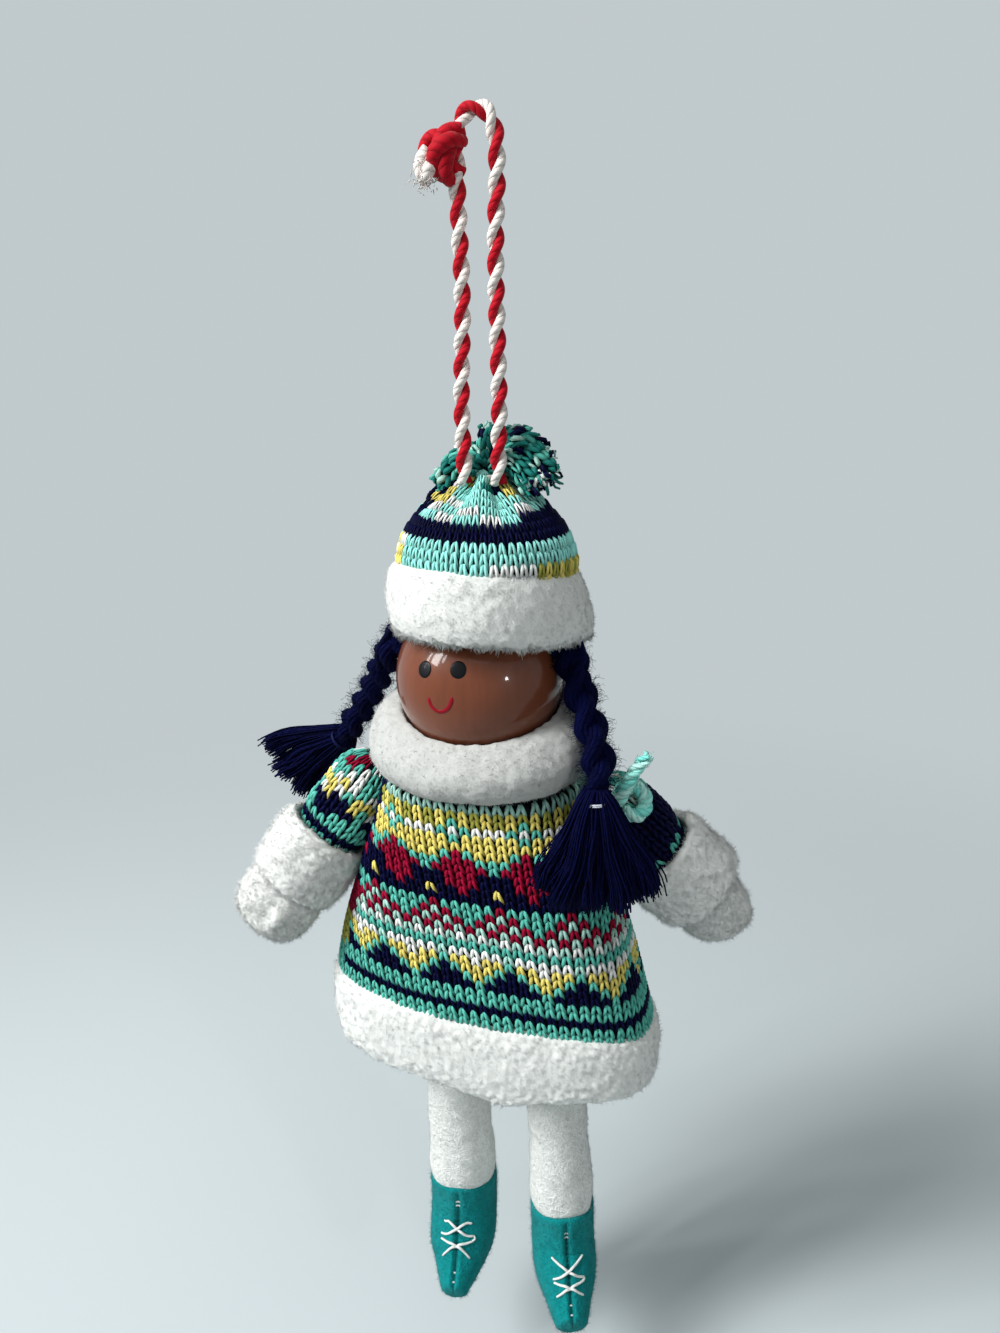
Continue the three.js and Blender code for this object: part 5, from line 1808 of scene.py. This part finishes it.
# %% Hank and dowel
bow = np.radians(np.linspace(-60, 60, 24))
hank = []
for shift in np.linspace(-1.4, 1.4, 6):
    far = HEAD_R + 1.9 + 0.25 * np.sin(bow * 3 + shift)
    hank.append(HEAD + np.stack([far * np.sin(bow), shift + 0 * bow, far * np.cos(bow)], -1))
hank_parts = [sweep(np.array(hank), 0.75, 6, navy(6)[:, None])]
make("hair_hank_yarns", hank_parts, hair_yarn, "doll_body", "navy_yarn", ["hair_hank"])

bare_wood = lacquer_of("bare_wood", ink("c9a777"), 0.2, 0.7, 0.0)
dowel = frame["nodes"]["neck_dowel"]
dowel = bpy.data.objects[dowel] if isinstance(dowel, str) else dowel
dowel.data.materials.clear()
dowel.data.materials.append(bare_wood)
print("dowel finish:", dowel.data.materials[0].name)

# %% [markdown]
# ## Floor
#
# A plain pale floor lies below the doll's boots and takes their shadow. Farther off it fades into the pale
# world, so that no horizon shows. The pale level is for what is seen or mirrored: the light that reaches
# the doll from there is lower, so that the lamps give the shapes.

# %% Floor
WALL_COLOUR = (0.53, 0.585, 0.60, 1)
FLOOR_Z = -0.30
FILL = 0.4


def pale_glow(tree):
    """Plain pale light: full strength where it is seen or mirrored, lower where it lights the doll."""
    rays = wire(tree, "ShaderNodeLightPath").outputs
    mirrored = sums(tree, "MAXIMUM", rays["Is Glossy Ray"], rays["Is Transmission Ray"])
    seen = sums(tree, "MAXIMUM", rays["Is Camera Ray"], mirrored)
    return sums(tree, "ADD", FILL, sums(tree, "MULTIPLY", seen, 1 - FILL))


floor_paint = bpy.data.materials.new("floor_paint")
floor_paint.use_nodes = True
tree = floor_paint.node_tree
floor_shader = tree.nodes["Principled BSDF"]
floor_shader.inputs["Base Color"].default_value = WALL_COLOUR
floor_shader.inputs["Roughness"].default_value = 0.9
floor_shader.inputs["Specular IOR Level"].default_value = 0.1
spot = wire(tree, "ShaderNodeTexCoord").outputs["Object"]
far = wire(tree, "ShaderNodeVectorMath", {0: spot}, operation="LENGTH").outputs["Value"]
fade = wire(tree, "ShaderNodeMapRange", {0: far, 1: 0.12, 2: 0.5}, interpolation_type="SMOOTHSTEP")
glow = wire(tree, "ShaderNodeEmission", {"Color": WALL_COLOUR, "Strength": pale_glow(tree)})
joined = {0: fade.outputs[0], 1: floor_shader.outputs[0], 2: glow.outputs[0]}
joined = wire(tree, "ShaderNodeMixShader", joined)
tree.links.new(joined.outputs[0], tree.nodes["Material Output"].inputs["Surface"])
bpy.ops.mesh.primitive_plane_add(size=12, location=(0, 0, FLOOR_Z))
floor = bpy.context.object
floor.name = "floor"
floor.data.materials.append(floor_paint)
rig.stage(floor)
print("floor at", FLOOR_Z)

# %% [markdown]
# ## Light
#
# The main light is a tall window on the left, in three panes, and its reflection is the bright bars on the
# ball. A small lamp near the camera gives the round spark, and the pale world fills the shadows. Lamps are
# placed by their direction as the camera sees it, because that is how a highlight is read from a picture.

# %% Light
LAMPS = [
    ("window_middle", (-0.755, 0.46, 0.465), 1.2, (0.24, 0.7), 15),
    ("window_left", (-0.9, 0.38, 0.28), 1.2, (0.06, 0.7), 3.4),
    ("window_right", (-0.62, 0.52, 0.6), 1.2, (0.06, 0.7), 3.4),
    ("front_fill", (-0.15, 0.75, 0.75), 1.8, (1.8, 1.8), 7),
    ("small_lamp", (0.589, -0.068, 0.805), 0.5, (0.03, 0.03), 0.25),
]
world = bpy.data.worlds.new("pale_room")
bpy.context.scene.world = world
world.use_nodes = True
sky = world.node_tree
shell = sky.nodes["Background"]
shell.inputs["Color"].default_value = WALL_COLOUR
sky.links.new(pale_glow(sky), shell.inputs["Strength"])
for name, way, far, size, power in LAMPS:
    spot = HEAD * MM + far * unit(np.array(look) @ way)
    aim = Vector(HEAD * MM - spot).to_track_quat("-Z", "Y")
    bpy.ops.object.light_add(type="AREA", location=spot, rotation=aim.to_euler())
    lamp = bpy.context.object
    lamp.name = name
    lamp.data.shape = "RECTANGLE"
    lamp.data.size, lamp.data.size_y = size
    lamp.data.energy = power
bpy.context.scene.view_settings.view_transform = "Standard"
print("lamps:", [o.name for o in bpy.data.objects if o.type == "LIGHT"])

# %% Finish
sizes = {"cad": [list(map(float, p)) for p in cad_box], "visual": [list(map(float, p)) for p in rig.bounds()]}
with open("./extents.json", "w") as out_file:
    json.dump(sizes, out_file)
print(sizes)
